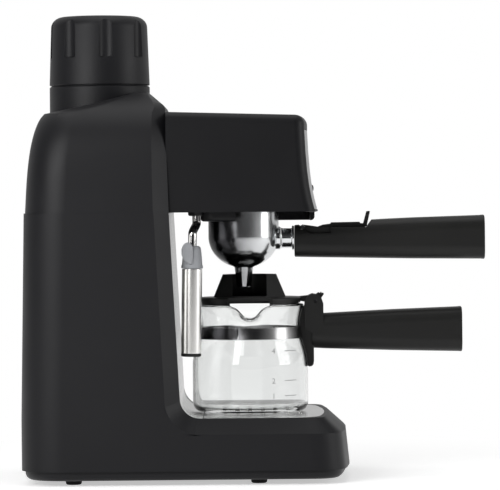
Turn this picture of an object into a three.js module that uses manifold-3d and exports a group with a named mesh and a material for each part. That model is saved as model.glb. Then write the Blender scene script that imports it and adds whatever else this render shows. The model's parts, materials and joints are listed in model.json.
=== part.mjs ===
// Steam espresso maker: a C-shaped moulded housing with a boiler in its tower, a brew head that
// overhangs a glass carafe, a bayonet filter holder, a swinging steam wand and a screw cap.
// Millimetres, +Z up. The handles point to -Y, the user's right hand is +X and the table is z = 0.
import * as THREE from 'three';
import { mergeVertices } from 'three/addons/utils/BufferGeometryUtils.js';
import Module from 'manifold-3d';

const wasm = await Module();
wasm.setup();

// ---------------------------------------------------------------- driving dimensions

const FIT = 0.3; // clearance between two pieces that seat on each other
const WALL = 2.5; // moulded walls

// Housing
const WIDTH = 190; // across the flanks
const REAR_Y = 165; // rear wall at its lower edge
const REAR_LEAN = 0.016; // the rear wall leans forward by this much per millimetre of height
const REAR_RADIUS = 30; // vertical rear corners
const NOSE_Y = -66.7; // front of the base, at its lower edge
const NOSE_CORNER = 22; // front corners of the base, in plan
const NOSE_BOW = 4; // how far the middle of the nose stands forward of its corners
const NOSE_FLARE = 2.6; // how much further out the nose is at its foot than at its shoulder
const NOSE_SLOPE = 13.6; // run of the sloping face round the top of the nose
const HOUSING_Z = 10; // lower edge of the housing
const DECK_Z = 46; // top of the base
const SEAM_Z = 190; // joint between the lower and upper housings, and underside of the head
const CHAMFER = 10.7; // flat bevel that follows the inner edge of the C
const DECK_FILLET = 13.5; // where the deck turns up into the tower
const TOWER_FRONT_Y = 59.9; // front face of the tower at the seam
const TOWER_LEAN = 0.05; // how the front face leans below the seam
const BROW_Z = SEAM_Z + 73; // where the front face turns back towards the collar
const BROW_LEAN = 0.03; // how the front face leans above the seam
const SHOULDER_Z = SEAM_Z + 85; // highest point of the shoulder
const REAR_BROW_Z = SEAM_Z + 74; // where the rear of the shoulder meets the collar
const REAR_BROW_DEPTH = 14.3; // how far the rear wall has come forward there
const BOSS_X = WIDTH / 2 - 15; // screw bosses of the base
const BOSS_RADIUS = 4.6;
const BOSS_FRONT_Y = -34;
const BOSS_REAR_Y = 118;
const SCREW_RADIUS = 1.6;
const SCREW_HEAD = 2.9;
const BRACKET_LEDGE = 7; // ledges inside the flanks that carry the boiler strap
const WINDOW = { half: 24, low: SEAM_Z + 22, high: SEAM_Z + 62 }; // pipes pass into the head here

// Liner, grid and tray
const SHEET = 1; // bright sheet of the liner
const GRID_SHEET = 1.2;
const PLATE_INSET = 12; // from the flank to the edge of the liner and of the grid
const GRID_REAR_Y = TOWER_FRONT_Y - 22.9; // just ahead of the fillet
const GRID_FRONT_Y = -49;
const TRAY_HALF = WIDTH / 2 - PLATE_INSET - 15;
const TRAY_FRONT_Y = GRID_FRONT_Y + 11;
const TRAY_REAR_Y = GRID_REAR_Y - 8;
const TRAY_DEPTH = 24;
const TRAY_WALL = 1.6;
const TRAY_FLANGE = 4;
const SLOT_ROWS = 7; // slots of the grid, in two columns
const SLOT_PITCH = 9;
const SLOT_WIDTH = 3;

// Pan, feet and mains parts
const PAN_Z = 3.5; // underside of the pan
const PAN_INSET = 2.5;
const FOOT_RADIUS = 5.2;
const FOOT_X = WIDTH / 2 - 23;
const FOOT_FRONT_Y = -1.5;
const FOOT_REAR_Y = 128.3;
const FOOT_STEM = 2.6;
const GLAND_RADIUS = 6;
const GLAND_X = 52;
const GLAND_Z = 26;
const GLAND_BORE = 3.5;
const GLAND_LENGTH = 14;
const BLOCK_Y = 124; // terminal block
const BLOCK_HALF = [16, 8];
const BLOCK_HEIGHT = 12;
const LEAD_RADIUS = 2;

// Boiler and cap
const BOILER_Y = 110.5;
const COLLAR_RADIUS = 36;
const COLLAR_Z = SEAM_Z + 90.6; // top of the collar
const BOILER_RADIUS = 33;
const BOILER_WALL = 2;
const BOILER_HEIGHT = 96; // to the root of the neck
const BOILER_NECK = 24.6; // from that root to the top of the collar
const BOILER_Z = COLLAR_Z - BOILER_NECK - BOILER_HEIGHT; // underside
const NECK_RADIUS = 24.5;
const NECK_WALL = 3;
const STRAP_Z = SEAM_Z - 8; // underside of the boiler strap's arms
const ELEMENT_RING = 23;
const ELEMENT_RADIUS = 3.6;
const ELEMENT_GAP = THREE.MathUtils.degToRad(28); // half the gap between the element's two ends
const FUSE_RADIUS = 2.2;
const RELIEF_RADIUS = 6;
const CAP_GAP = 0.6; // dark line between the collar and the cap
const CAP_HEIGHT = 50;
const CAP_TOP_RADIUS = COLLAR_RADIUS - 1.4;
const CAP_BEVEL = 7.5;
const FLUTES = 8;
const FLUTE_RADIUS = 6.2;
const FLUTE_DEPTH = 2.1;
const FLUTE_HEIGHT = 27;
const FLUTE_PHASE = THREE.MathUtils.degToRad(190);

// Brew head
const HEAD_HALF = 82;
const HEAD_TOP_Z = SEAM_Z + 67.5; // at the front
const HEAD_RISE = 0.03; // the top climbs towards the tower
const HEAD_FRONT_Y = -38.4; // at the top of the front
const HEAD_LIP_Y = -45.6; // at the lower lip
const HEAD_BOW = 3.4;
const HEAD_CORNER = 7;
const TOP_EDGE = 7; // the rounded top edges of the head
const PANEL_HALF = 76;
const PANEL_TOP_Z = HEAD_TOP_Z - 10.5;
const PANEL_SHEET = 3;
const LIP_HEIGHT = 1.4; // black lip under the panel
const BREW_Y = 8; // axis of the group
const CHIN_DROP = 7; // rim under the head
const CHIN_WALL = 3;
const CHIN_HALF = 56;
const CHIN_REAR_Y = 38.5;
const CHIN_FRONT_Y = -43.4;
const CHIN_NOTCH_X = 7; // the rim is open from here to the user's left...
const CHIN_NOTCH_Y = 13.3; // ...and forward of here
const KNOB_RADIUS = 17;
const KNOB_LENGTH = 11.5;
const KNOB_Y = 8;
const KNOB_Z = SEAM_Z + 36;
const SPINDLE_RADIUS = 3;
const LENS_RADIUS = 2.6;
const LENS_Z = SEAM_Z + 16;
const VALVE_HALF = 14;
const PIPE_RADIUS = 2.5;

// Group, heights from the underside of the head
const LEDGE_LOW = 0.5; // bayonet ledge
const LEDGE_HIGH = 2.6;
const GASKET_HEIGHT = 3;
const SCREEN_RADIUS = 20;

// Filter holder, about the brew axis
const BOWL_RADIUS = 25.3;
const BOWL_WALL = 1.8;
const BOWL_STRAIGHT = 18; // cylinder that shows under the head
const BOWL_ROUND = 22.5; // height of the rounded part
const RIM_RISE = 7; // the rim stands this far inside the head
const SPOUT_RADIUS = 6.6;
const SPOUT_LENGTH = 14;
const SPOUT_BORE = 3.6;
const LUG_REACH = 3.4;
const LUG_HEIGHT = 3.4;
const LUG_HALF_WIDTH = 6;
const LUG_TURN = 45; // degrees from locked to free
const HANDLE_DROP = 19.6; // handle axis below the head
const FERRULE_RADIUS = 7.3;
const FERRULE_LENGTH = 9.5;
const HANDLE_START = BOWL_RADIUS + 11.3; // from the brew axis
const HANDLE_TIP = HANDLE_START + 136.4;
const LEVER_WIDTH = 9;
const LEVER_PIVOT = HANDLE_START + 5.9; // from the brew axis
const LEVER_TIP = LEVER_PIVOT + 47.5;
const LEVER_PIVOT_Z = -12;
const LEVER_FLOOR_Z = -12.5; // floor of the channel in the handle
const RETAINER_PIN = 1.5;
const EAR_WIDTH = 3.4;
const BASKET_SHEET = 0.6;
const BASKET_ROLL = 0.7; // rolled edge of the basket
const BASKET_DEPTH = 19;

// Carafe, about its own axis, heights from the deck
const CARAFE_Y = 4;
const CARAFE_RADIUS = 41.5;
const CARAFE_WAIST = CARAFE_RADIUS - 5.5;
const CARAFE_RIM = CARAFE_RADIUS - 2.8;
const CARAFE_WALL = 1.8;
const CARAFE_BELLY_Z = 33; // where the taper starts
const CARAFE_WAIST_Z = 62;
const CARAFE_RIM_Z = 77;
const BEAK_REACH = 7;
const BEAK_ANGLE = 0.42; // half the width of the pouring lip at the rim, radians
const BAND_LOW_Z = 52.4;
const BAND_HIGH_Z = 60.6;
const BAND_SHEET = 0.8;
const BRACKET_HALF = 9;
const GRIP_START = CARAFE_RADIUS + 11.3; // from the carafe's axis
const GRIP_TIP = GRIP_START + 99.4;
const LID_RADIUS = CARAFE_RIM - 1.2;
const LID_SHEET = 2.4;
const CHIMNEY_FOOT = 26.4;
const CHIMNEY_TOP = 19.3;
const CHIMNEY_COVER = 8.8; // how far the chimney reaches up past the tip of the spout
const CHIMNEY_SLOT = 24.5;
const LID_PIN_Y = -CARAFE_RADIUS - 5.7; // from the carafe's axis
const LID_PIN_Z = 78.7;
const LID_PIN_RADIUS = 1.3;
const LID_TOP = 82;
const FACETS = 8; // of the chimney
const BRACKET_TOP = 84;
const BRACKET_FOOT = 32;
const EAR_GAP = 5.6; // half the gap between the ears that hold the lid's pin

// Steam wand
const WAND_X = -48;
const WAND_Y = 41;
const WAND_RADIUS = 3;
const WAND_BORE = 2;
const SLEEVE_X = -66;
const SLEEVE_Y = 43.5;
const SLEEVE_TOP_Z = SEAM_Z - 42;
const SLEEVE_LENGTH = 60;
const SLEEVE_RADIUS = 6.9;
const SLEEVE_WALL = 0.9;
const SLEEVE_LEAN = THREE.MathUtils.degToRad(1.2);
const GRIP_HEIGHT = 19; // silicone grip above the sleeve
const BUSH_RADIUS = 6;

// ---------------------------------------------------------------- geometry helpers

const vec = (x, y, z) => new THREE.Vector3(x, y, z);

/** A manifold solid from a closed three.js geometry. */
function solid(geometry) {
  const source = geometry.clone();
  source.deleteAttribute('normal');
  source.deleteAttribute('uv');
  const merged = mergeVertices(source, 1e-4);
  const at = merged.attributes.position;
  const triangles = [];
  let volume = 0;
  for (let i = 0; i < merged.index.count; i += 3) {
    const [a, b, c] = [0, 1, 2].map((k) => merged.index.getX(i + k));
    if (a === b || b === c || c === a) continue;
    triangles.push(a, b, c);
    const [p, q, r] = [a, b, c].map((k) => vec(at.getX(k), at.getY(k), at.getZ(k)));
    volume += p.dot(q.cross(r));
  }
  if (volume < 0) triangles.reverse();
  return new wasm.Manifold(
    new wasm.Mesh({
      numProp: 3,
      vertProperties: new Float32Array(at.array),
      triVerts: new Uint32Array(triangles),
    }),
  );
}

/** The three.js geometry of a manifold solid. */
function toGeometry(body) {
  const mesh = body.getMesh();
  const geometry = new THREE.BufferGeometry();
  geometry.setAttribute('position', new THREE.BufferAttribute(mesh.vertProperties, 3));
  geometry.setIndex(new THREE.BufferAttribute(mesh.triVerts, 1));
  geometry.computeVertexNormals();
  return geometry;
}

const join = (...bodies) => bodies.reduce((sum, body) => sum.add(body));
const cut = (body, ...tools) => tools.reduce((rest, tool) => rest.subtract(tool), body);

/** A turned piece about Z, from a profile of [radius, z] that starts and ends on the axis or closes. */
function turned(profile, segments = 20) {
  const points = profile.map(([r, z]) => new THREE.Vector2(r, z));
  if (profile[0][0] > 0) points.push(points[0].clone());
  return solid(new THREE.LatheGeometry(points, segments).rotateX(Math.PI / 2));
}

const disc = (radius, low, high, segments) =>
  turned([[0, low], [radius, low], [radius, high], [0, high]], segments);
const ring = (inner, outer, low, high, segments) =>
  turned([[inner, low], [outer, low], [outer, high], [inner, high]], segments);

/** A box given by its limits along each axis. */
function box([x0, x1], [y0, y1], [z0, z1]) {
  const geometry = new THREE.BoxGeometry(x1 - x0, y1 - y0, z1 - z0);
  return solid(geometry.translate((x0 + x1) / 2, (y0 + y1) / 2, (z0 + z1) / 2));
}

/** A round bar between two points. */
function bar(radius, from, to, segments = 10) {
  const along = to.clone().sub(from);
  const geometry = new THREE.CylinderGeometry(radius, radius, along.length(), segments);
  const turn = new THREE.Quaternion().setFromUnitVectors(vec(0, 1, 0), along.normalize());
  const middle = from.clone().add(to).multiplyScalar(0.5);
  return solid(geometry.applyQuaternion(turn).translate(...middle));
}

/** An outline in plan, extruded from one height to another. */
const prism = (shape, low, high, curveSegments = 6) =>
  solid(
    new THREE.ExtrudeGeometry(shape, { depth: high - low, bevelEnabled: false, curveSegments })
      .translate(0, 0, low),
  );

/** An outline given as (y, z), extruded from one x to another. */
const slab = (shape, x0, x1, curveSegments = 6) =>
  solid(
    new THREE.ExtrudeGeometry(shape, { depth: x1 - x0, bevelEnabled: false, curveSegments })
      .translate(0, 0, x0)
      .applyMatrix4(new THREE.Matrix4().makeBasis(vec(0, 1, 0), vec(0, 0, 1), vec(1, 0, 0))),
  );

const outline = (points) => new THREE.Shape(points.map(([u, v]) => new THREE.Vector2(u, v)));

/** A rectangle with rounded corners, by its limits. */
function roundedRectangle([x0, x1], [y0, y1], radius) {
  const shape = new THREE.Shape();
  shape.absarc(x1 - radius, y1 - radius, radius, 0, Math.PI / 2);
  shape.absarc(x0 + radius, y1 - radius, radius, Math.PI / 2, Math.PI);
  shape.absarc(x0 + radius, y0 + radius, radius, Math.PI, 1.5 * Math.PI);
  shape.absarc(x1 - radius, y0 + radius, radius, 1.5 * Math.PI, 2 * Math.PI);
  return shape;
}

/** A slot with pointed round ends, between two x limits. */
function capsule([x0, x1], y, width) {
  const r = width / 2;
  return outline([
    [x0 + r, y - r],
    [x1 - r, y - r],
    [x1, y],
    [x1 - r, y + r],
    [x0 + r, y + r],
    [x0, y],
  ]);
}

/** A round tube along a curve. */
function tube(path, radius, steps, sides = 6) {
  const section = new THREE.Shape(new THREE.EllipseCurve(0, 0, radius, radius).getPoints(sides));
  return solid(
    new THREE.ExtrudeGeometry(section, { extrudePath: path, steps, bevelEnabled: false }),
  );
}

/** A skin over rings of equal length, closed at both ends. flat picks the plane of the end caps. */
function loft(rings, flat) {
  const count = rings[0].length;
  const points = rings.flat();
  const faces = [];
  for (let level = 0; level + 1 < rings.length; level += 1) {
    for (let i = 0; i < count; i += 1) {
      const [a, b] = [level * count + i, level * count + ((i + 1) % count)];
      faces.push(a, b, b + count, a, b + count, a + count);
    }
  }
  const last = (rings.length - 1) * count;
  const cap = (at) => THREE.ShapeUtils.triangulateShape(rings[at].map(flat), []);
  cap(0).forEach(([a, b, c]) => faces.push(a, c, b));
  cap(rings.length - 1).forEach(([a, b, c]) => faces.push(last + a, last + b, last + c));
  const geometry = new THREE.BufferGeometry().setFromPoints(points);
  geometry.setIndex(faces);
  return solid(geometry);
}

const inPlan = (p) => new THREE.Vector2(p.x, p.y);
const inSideView = (p) => new THREE.Vector2(p.y, p.z);
const inFrontView = (p) => new THREE.Vector2(p.x, p.z);

/** A stack of plan outlines, each given as { z, points: Vector2[] }. */
const stack = (levels) =>
  loft(levels.map(({ z, points }) => points.map((p) => vec(p.x, p.y, z))), inPlan);

const smooth = (t) => t * t * (3 - 2 * t);
const clamp = THREE.MathUtils.clamp;
const HIDDEN = 16; // sides of round pieces inside the housing

// ---------------------------------------------------------------- scene graph

const machine = new THREE.Group();

/** Adds a nested group at a place. */
function frameAt(x, y, z, parent = machine) {
  const group = new THREE.Group();
  group.position.set(x, y, z);
  parent.add(group);
  return group;
}

const FINISHES = {
  blackPlastic: { color: 0x1b1c1f, roughness: 0.48, metalness: 0 },
  headPlastic: { color: 0x111113, roughness: 0.5, metalness: 0 },
  handlePlastic: { color: 0x0e0e0f, roughness: 0.42, metalness: 0 },
  silverPaint: { color: 0xb4b6b8, roughness: 0.35, metalness: 0.7 },
  brightSteel: { color: 0xd2d2cf, roughness: 0.2, metalness: 1 },
  chrome: { color: 0xe4e3e0, roughness: 0.06, metalness: 1 },
  castAluminium: { color: 0xb9bbbd, roughness: 0.25, metalness: 1 },
  brass: { color: 0xb08d4a, roughness: 0.3, metalness: 1 },
  greySilicone: { color: 0x8d9296, roughness: 0.7, metalness: 0 },
  blackRubber: { color: 0x151515, roughness: 0.8, metalness: 0 },
  redSilicone: { color: 0x9c3a2c, roughness: 0.7, metalness: 0 },
  glass: { color: 0xeef2f2, roughness: 0.03, metalness: 0, transparent: true, opacity: 0.25 },
  redLens: { color: 0xa8261c, roughness: 0.15, metalness: 0 },
  whitePlastic: { color: 0xd9d7cf, roughness: 0.5, metalness: 0 },
};

/** Adds one solid to the scene as a named mesh with its own material. */
function add(parent, name, finish, body) {
  const mesh = new THREE.Mesh(toGeometry(body), new THREE.MeshStandardMaterial(FINISHES[finish]));
  mesh.name = name;
  parent.add(mesh);
  return mesh;
}

// ---------------------------------------------------------------- housing forms

const HALF = WIDTH / 2;
const FAR = REAR_Y + SEAM_Z; // beyond the machine, for cutting tools
const DECK_WALL = GRID_SHEET + 1.6 + WALL; // the deck is lowered to take the grid and the tray
const towerFront = (z) => TOWER_FRONT_Y + TOWER_LEAN * (z - SEAM_Z);
const towerRear = (z) => REAR_Y - REAR_LEAN * (z - HOUSING_Z);

/** The inner line of the C in side view, from the tower's top down and along the deck. */
function innerLine(offset, top, front, steps = 5) {
  const turnZ = DECK_Z + DECK_FILLET;
  const turnY = towerFront(turnZ) - DECK_FILLET;
  const radius = DECK_FILLET + offset;
  const points = [[towerFront(top) + offset, top]];
  for (let i = 0; i <= steps; i += 1) {
    const angle = (-Math.PI / 2) * (i / steps);
    points.push([turnY + radius * Math.cos(angle), turnZ + radius * Math.sin(angle)]);
  }
  points.push([front, DECK_Z - offset]);
  return points;
}

/** The whole C in side view: everything behind and below its inner line. */
const sideOutline = (offset, bottom, top) => [
  [FAR, bottom],
  [FAR, top],
  ...innerLine(offset, top, -FAR),
  [-FAR, bottom],
];

/** Side outlines lofted across the width, with the bevel along both inner edges. */
function bevelledC(inset, deckInset, bottom, top) {
  const lean = inset * Math.SQRT2;
  const stations = [
    [HALF - inset, CHAMFER + lean - inset],
    [HALF - CHAMFER + deckInset - lean, deckInset],
  ];
  const across = [
    ...stations.map(([x, offset]) => [-x, offset]),
    ...stations.reverse().map(([x, offset]) => [x, offset]),
  ];
  return loft(
    across.map(([x, offset]) => sideOutline(offset, bottom, top).map(([y, z]) => vec(x, y, z))),
    inSideView,
  );
}

/** Plan of the tower: straight flanks and round rear corners. */
function towerPlan(z, inset) {
  const radius = REAR_RADIUS - inset;
  const x = HALF - inset - radius;
  const y = towerRear(z) - inset - radius;
  const shape = new THREE.Shape();
  shape.moveTo(-(HALF - inset), 25);
  shape.lineTo(HALF - inset, 25);
  shape.absarc(x, y, radius, 0, Math.PI / 2);
  shape.absarc(-x, y, radius, Math.PI / 2, Math.PI);
  return shape.getPoints(4);
}

/** Plan of the base: straight flanks, round front corners and a bowed nose. */
function nosePlan(half, nose, rear, corner = NOSE_CORNER) {
  const flat = half - corner;
  const shoulder = nose + NOSE_BOW + (2 * NOSE_BOW * corner) / flat;
  const shape = new THREE.Shape();
  shape.moveTo(half, rear);
  shape.lineTo(-half, rear);
  shape.lineTo(-half, shoulder + corner);
  shape.quadraticCurveTo(-half, shoulder, -flat, nose + NOSE_BOW);
  shape.quadraticCurveTo(0, nose - NOSE_BOW, flat, nose + NOSE_BOW);
  shape.quadraticCurveTo(half, shoulder, half, shoulder + corner);
  return shape.getPoints(4);
}

/** The closed outer form of the lower housing, or its hollow when it is inset. */
function lowerForm(inset, deckInset, bottom, top) {
  const tower = stack([
    { z: bottom, points: towerPlan(bottom, inset) },
    { z: top, points: towerPlan(top, inset) },
  ]);
  const shoulderZ = DECK_Z - CHAMFER + FIT;
  const ledge = HALF - inset;
  const foot = NOSE_Y + inset - (NOSE_FLARE * (HOUSING_Z - bottom)) / (shoulderZ - HOUSING_Z);
  const rise = DECK_Z + FIT - deckInset;
  const base = stack([
    { z: bottom, points: nosePlan(ledge, foot, 50) },
    { z: shoulderZ - deckInset, points: nosePlan(ledge, NOSE_Y + NOSE_FLARE + inset, 50) },
    { z: rise, points: nosePlan(ledge - CHAMFER, NOSE_Y + NOSE_FLARE + inset + NOSE_SLOPE, 50) },
    { z: rise + 20, points: nosePlan(ledge - CHAMFER, NOSE_Y + NOSE_SLOPE + inset + 20, 50) },
  ]);
  return join(tower, base).intersect(bevelledC(inset, deckInset, bottom, top));
}

const upperFront = (z) =>
  TOWER_FRONT_Y +
  BROW_LEAN * (Math.min(z, BROW_Z) - SEAM_Z) +
  ((BOILER_Y - COLLAR_RADIUS - towerBrow()) * Math.max(0, z - BROW_Z)) / (SHOULDER_Z - BROW_Z);
const towerBrow = () => TOWER_FRONT_Y + BROW_LEAN * (BROW_Z - SEAM_Z);
const roll = (t, power) => 1 - Math.sqrt(1 - Math.min(1, t) ** power);

/** Rear wall of the upper housing at a height: it rolls forward to the collar and over it. */
function upperRear(z) {
  const seamRear = towerRear(SEAM_Z) - 1;
  const t = (z - SEAM_Z) / (REAR_BROW_Z - SEAM_Z);
  if (t <= 1) return seamRear - REAR_BROW_DEPTH * (0.3 * t + 0.7 * roll(t, 2));
  const over = (z - REAR_BROW_Z) / (SHOULDER_Z - REAR_BROW_Z);
  return seamRear - REAR_BROW_DEPTH - 0.8 * (BOILER_Y - COLLAR_RADIUS) * over ** 0.8;
}

/** Plan of the upper housing at a height, between bevelled front edges and round rear corners. */
function upperPlan(z, inset) {
  const t = (z - SEAM_Z) / (SHOULDER_Z - SEAM_Z);
  const half = HALF - (HALF - COLLAR_RADIUS) * (0.04 * t + 0.96 * roll(t, 4)) - inset;
  const [front, rear] = [upperFront(z) + inset, upperRear(z) - inset];
  const bevel = Math.min(CHAMFER - inset * (2 - Math.SQRT2), half * 0.3, (rear - front) * 0.4);
  const radius = Math.min(REAR_RADIUS - inset, (rear - front - bevel) * 0.8, half * 0.8);
  const shape = new THREE.Shape();
  shape.moveTo(-half, front + bevel);
  shape.lineTo(-half + bevel, front);
  shape.lineTo(half - bevel, front);
  shape.lineTo(half, front + bevel);
  shape.absarc(half - radius, rear - radius, radius, 0, Math.PI / 2);
  shape.absarc(-half + radius, rear - radius, radius, Math.PI / 2, Math.PI);
  return shape.getPoints(4);
}

const SHOULDER_STEPS = [0, 0.4, 0.66, 0.83, 0.94, 1];

/** The closed outer form of the upper housing, or its hollow when it is inset. */
function upperForm(inset, bottom) {
  const height = SHOULDER_Z - inset - SEAM_Z;
  const levels = SHOULDER_STEPS.map((t) => ({
    z: t === 0 ? bottom : SEAM_Z + t * height,
    points: upperPlan(SEAM_Z + t * (SHOULDER_Z - SEAM_Z), inset),
  }));
  return stack(levels);
}

// ---------------------------------------------------------------- lower housing

const LINER_HALF = HALF - PLATE_INSET;
const GRID_SEAT_Z = DECK_Z - GRID_SHEET; // underside of the grid
const TRAY_SEAT_Z = DECK_Z - DECK_WALL + WALL; // lowered deck that takes the tray's flange

/** Round places for the four screws of the pan. */
const bossPlaces = [-1, 1].flatMap((side) =>
  [BOSS_FRONT_Y, BOSS_REAR_Y].map((y) => [side * BOSS_X, y]),
);
const BOSS_FOOT_Z = HOUSING_Z + 4;
const BOSS_TOP_Z = DECK_Z - CHAMFER - WALL;

function lowerHousing() {
  const outer = lowerForm(0, 0, HOUSING_Z, SEAM_Z - FIT);
  const hollow = lowerForm(WALL, DECK_WALL, HOUSING_Z - 5, SEAM_Z + 5);
  const sheetBed = slab(
    outline([
      ...innerLine(SHEET + FIT, SEAM_Z + 5, GRID_REAR_Y - 5),
      [GRID_REAR_Y - 5, DECK_Z + 5],
      [-FAR, DECK_Z + 5],
      [-FAR, SEAM_Z + 5],
    ]),
    -LINER_HALF - FIT,
    LINER_HALF + FIT,
  );
  const gridBed = prism(
    new THREE.Shape(nosePlan(LINER_HALF + FIT, GRID_FRONT_Y - FIT, GRID_REAR_Y + FIT)),
    TRAY_SEAT_Z,
    DECK_Z + 5,
  );
  const trayHole = prism(
    roundedRectangle(
      [-TRAY_HALF - FIT * 2, TRAY_HALF + FIT * 2],
      [TRAY_FRONT_Y - FIT * 2, TRAY_REAR_Y + FIT * 2],
      12,
    ),
    HOUSING_Z,
    DECK_Z + 5,
    4,
  );
  const glandHole = bar(
    GLAND_RADIUS + FIT,
    vec(GLAND_X, REAR_Y - 20, GLAND_Z),
    vec(GLAND_X, FAR, GLAND_Z),
  );
  let body = cut(outer, hollow);
  for (const [x, y] of bossPlaces) {
    const side = Math.sign(x);
    const web = box(
      [Math.min(x, side * FAR), Math.max(x, side * FAR)],
      [y - 1, y + 1],
      [BOSS_FOOT_Z, BOSS_TOP_Z],
    );
    const boss = disc(BOSS_RADIUS, BOSS_FOOT_Z, BOSS_TOP_Z, 6).translate([x, y, 0]);
    body = body.add(join(boss, web).intersect(outer));
    body = body.subtract(disc(SCREW_RADIUS + FIT, 0, BOSS_TOP_Z - 4, 6).translate([x, y, 0]));
  }
  for (const side of [-1, 1]) {
    const x = [side * (HALF - WALL / 2), side * (HALF - WALL - BRACKET_LEDGE)].sort((a, b) => a - b);
    const ledge = box(x, [BOILER_Y - 9, BOILER_Y + 9], [STRAP_Z - 4, STRAP_Z - FIT]);
    body = body.add(ledge);
  }
  return cut(body, sheetBed, gridBed, trayHole, glandHole);
}

add(machine, 'lower_housing', 'blackPlastic', lowerHousing());

// ---------------------------------------------------------------- liner, tray and grid

function backLiner() {
  const face = innerLine(0, SEAM_Z - 1, GRID_REAR_Y + FIT);
  const back = innerLine(SHEET, SEAM_Z - 1, GRID_REAR_Y + FIT);
  return slab(outline([...face, ...back.reverse()]), -LINER_HALF, LINER_HALF);
}
add(machine, 'back_liner', 'brightSteel', backLiner());

function dripTray() {
  const floorZ = DECK_Z - TRAY_DEPTH;
  const span = (grow) => [
    [-TRAY_HALF - grow, TRAY_HALF + grow],
    [TRAY_FRONT_Y - grow, TRAY_REAR_Y + grow],
  ];
  const flange = roundedRectangle(...span(TRAY_FLANGE), 14);
  const well = roundedRectangle(...span(0), 11);
  const inside = roundedRectangle(...span(-TRAY_WALL), 10);
  const flangeLow = TRAY_SEAT_Z + FIT;
  return cut(
    join(
      prism(flange, flangeLow, GRID_SEAT_Z - FIT, 3),
      prism(well, floorZ, GRID_SEAT_Z - FIT, 3),
    ),
    prism(inside, floorZ + TRAY_WALL, DECK_Z + 1, 3),
  );
}
add(machine, 'drip_tray', 'blackPlastic', dripTray());

function dripGrid() {
  const plan = new THREE.Shape(nosePlan(LINER_HALF, GRID_FRONT_Y, GRID_REAR_Y));
  const middle = (SLOT_ROWS - 1) / 2;
  for (let row = 0; row < SLOT_ROWS; row += 1) {
    const y = (TRAY_FRONT_Y + TRAY_REAR_Y) / 2 + (row - middle) * SLOT_PITCH;
    const reach = TRAY_HALF - 12 - Math.abs(row - middle) * 3;
    plan.holes.push(capsule([-reach, -4], y, SLOT_WIDTH), capsule([4, reach], y, SLOT_WIDTH));
  }
  return prism(plan, GRID_SEAT_Z, DECK_Z);
}
add(machine, 'drip_grid', 'brightSteel', dripGrid());

// ---------------------------------------------------------------- pan, feet and screws

/** Plan of the whole base, tower and nose together. */
function footprint(inset) {
  const rear = towerRear(HOUSING_Z) - inset;
  const radius = REAR_RADIUS - inset;
  const half = HALF - inset;
  const nose = nosePlan(half, NOSE_Y + inset, rear - radius);
  const shape = new THREE.Shape();
  shape.absarc(half - radius, rear - radius, radius, 0, Math.PI / 2);
  shape.absarc(-half + radius, rear - radius, radius, Math.PI / 2, Math.PI);
  return [...shape.getPoints(4), ...nose.slice(2)];
}

const PAN_FLOOR_Z = PAN_Z + WALL;

function bottomPan() {
  const lipInset = WALL + FIT * 2;
  const shell = stack([
    { z: PAN_Z, points: footprint(PAN_INSET + 3) },
    { z: PAN_Z + 3, points: footprint(PAN_INSET) },
    { z: HOUSING_Z - FIT, points: footprint(PAN_INSET) },
  ]);
  const lip = stack([
    { z: PAN_Z + 3, points: footprint(lipInset) },
    { z: HOUSING_Z + 3.4, points: footprint(lipInset) },
  ]);
  const inside = stack([
    { z: PAN_FLOOR_Z, points: footprint(lipInset + 2) },
    { z: HOUSING_Z + 6, points: footprint(lipInset + 2) },
  ]);
  let body = cut(join(shell, lip), inside);
  for (const [x, y] of bossPlaces) {
    const post = disc(BOSS_RADIUS, PAN_FLOOR_Z - 1, BOSS_FOOT_Z - FIT, 6);
    body = body.add(post.translate([x, y, 0]));
    body = cut(
      body,
      disc(SCREW_HEAD + FIT, 0, PAN_FLOOR_Z + 2, 6).translate([x, y, 0]),
      disc(SCREW_RADIUS + FIT, 0, HOUSING_Z + 8, 6).translate([x, y, 0]),
    );
  }
  const vents = [-1, 0, 1].map((i) =>
    prism(capsule([-20, 20], BOILER_Y - 30 + i * 9, 3), 0, PAN_FLOOR_Z + 2),
  );
  for (const [x, y] of footPlaces) {
    body = body.subtract(disc(FOOT_STEM + FIT, 0, 20, 8).translate([x, y, 0]));
  }
  return cut(body, ...vents);
}

const footPlaces = [
  [-FOOT_X, FOOT_FRONT_Y],
  [FOOT_X, FOOT_FRONT_Y],
  [-FOOT_X, FOOT_REAR_Y],
  [FOOT_X, FOOT_REAR_Y],
];
add(machine, 'bottom_pan', 'blackPlastic', bottomPan());

const footNames = ['front_left', 'front_right', 'rear_left', 'rear_right'];
footPlaces.forEach(([x, y], i) => {
  const underside = PAN_Z - FIT;
  const foot = turned(
    [
      [0, 0],
      [FOOT_RADIUS - 0.8, 0],
      [FOOT_RADIUS, 0.8],
      [FOOT_RADIUS + 0.5, underside],
      [FOOT_STEM, underside],
      [FOOT_STEM, PAN_FLOOR_Z + FIT],
      [FOOT_STEM + 1.2, PAN_FLOOR_Z + FIT],
      [FOOT_STEM * 0.6, PAN_FLOOR_Z + 3],
      [0, PAN_FLOOR_Z + 3],
    ],
    8,
  );
  add(frameAt(x, y, 0), `foot_${footNames[i]}`, 'blackRubber', foot);
});

bossPlaces.forEach(([x, y], i) => {
  const headZ = PAN_FLOOR_Z + 2 - FIT;
  const screw = turned(
    [
      [0, headZ - 2],
      [SCREW_HEAD - 0.6, headZ - 2],
      [SCREW_HEAD, headZ - 1.2],
      [SCREW_HEAD, headZ],
      [SCREW_RADIUS, headZ],
      [SCREW_RADIUS, headZ + 14],
      [0, headZ + 15],
    ],
    6,
  );
  add(frameAt(x, y, 0), `base_screw_${i + 1}`, 'brightSteel', screw);
});

// ---------------------------------------------------------------- mains side

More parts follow.
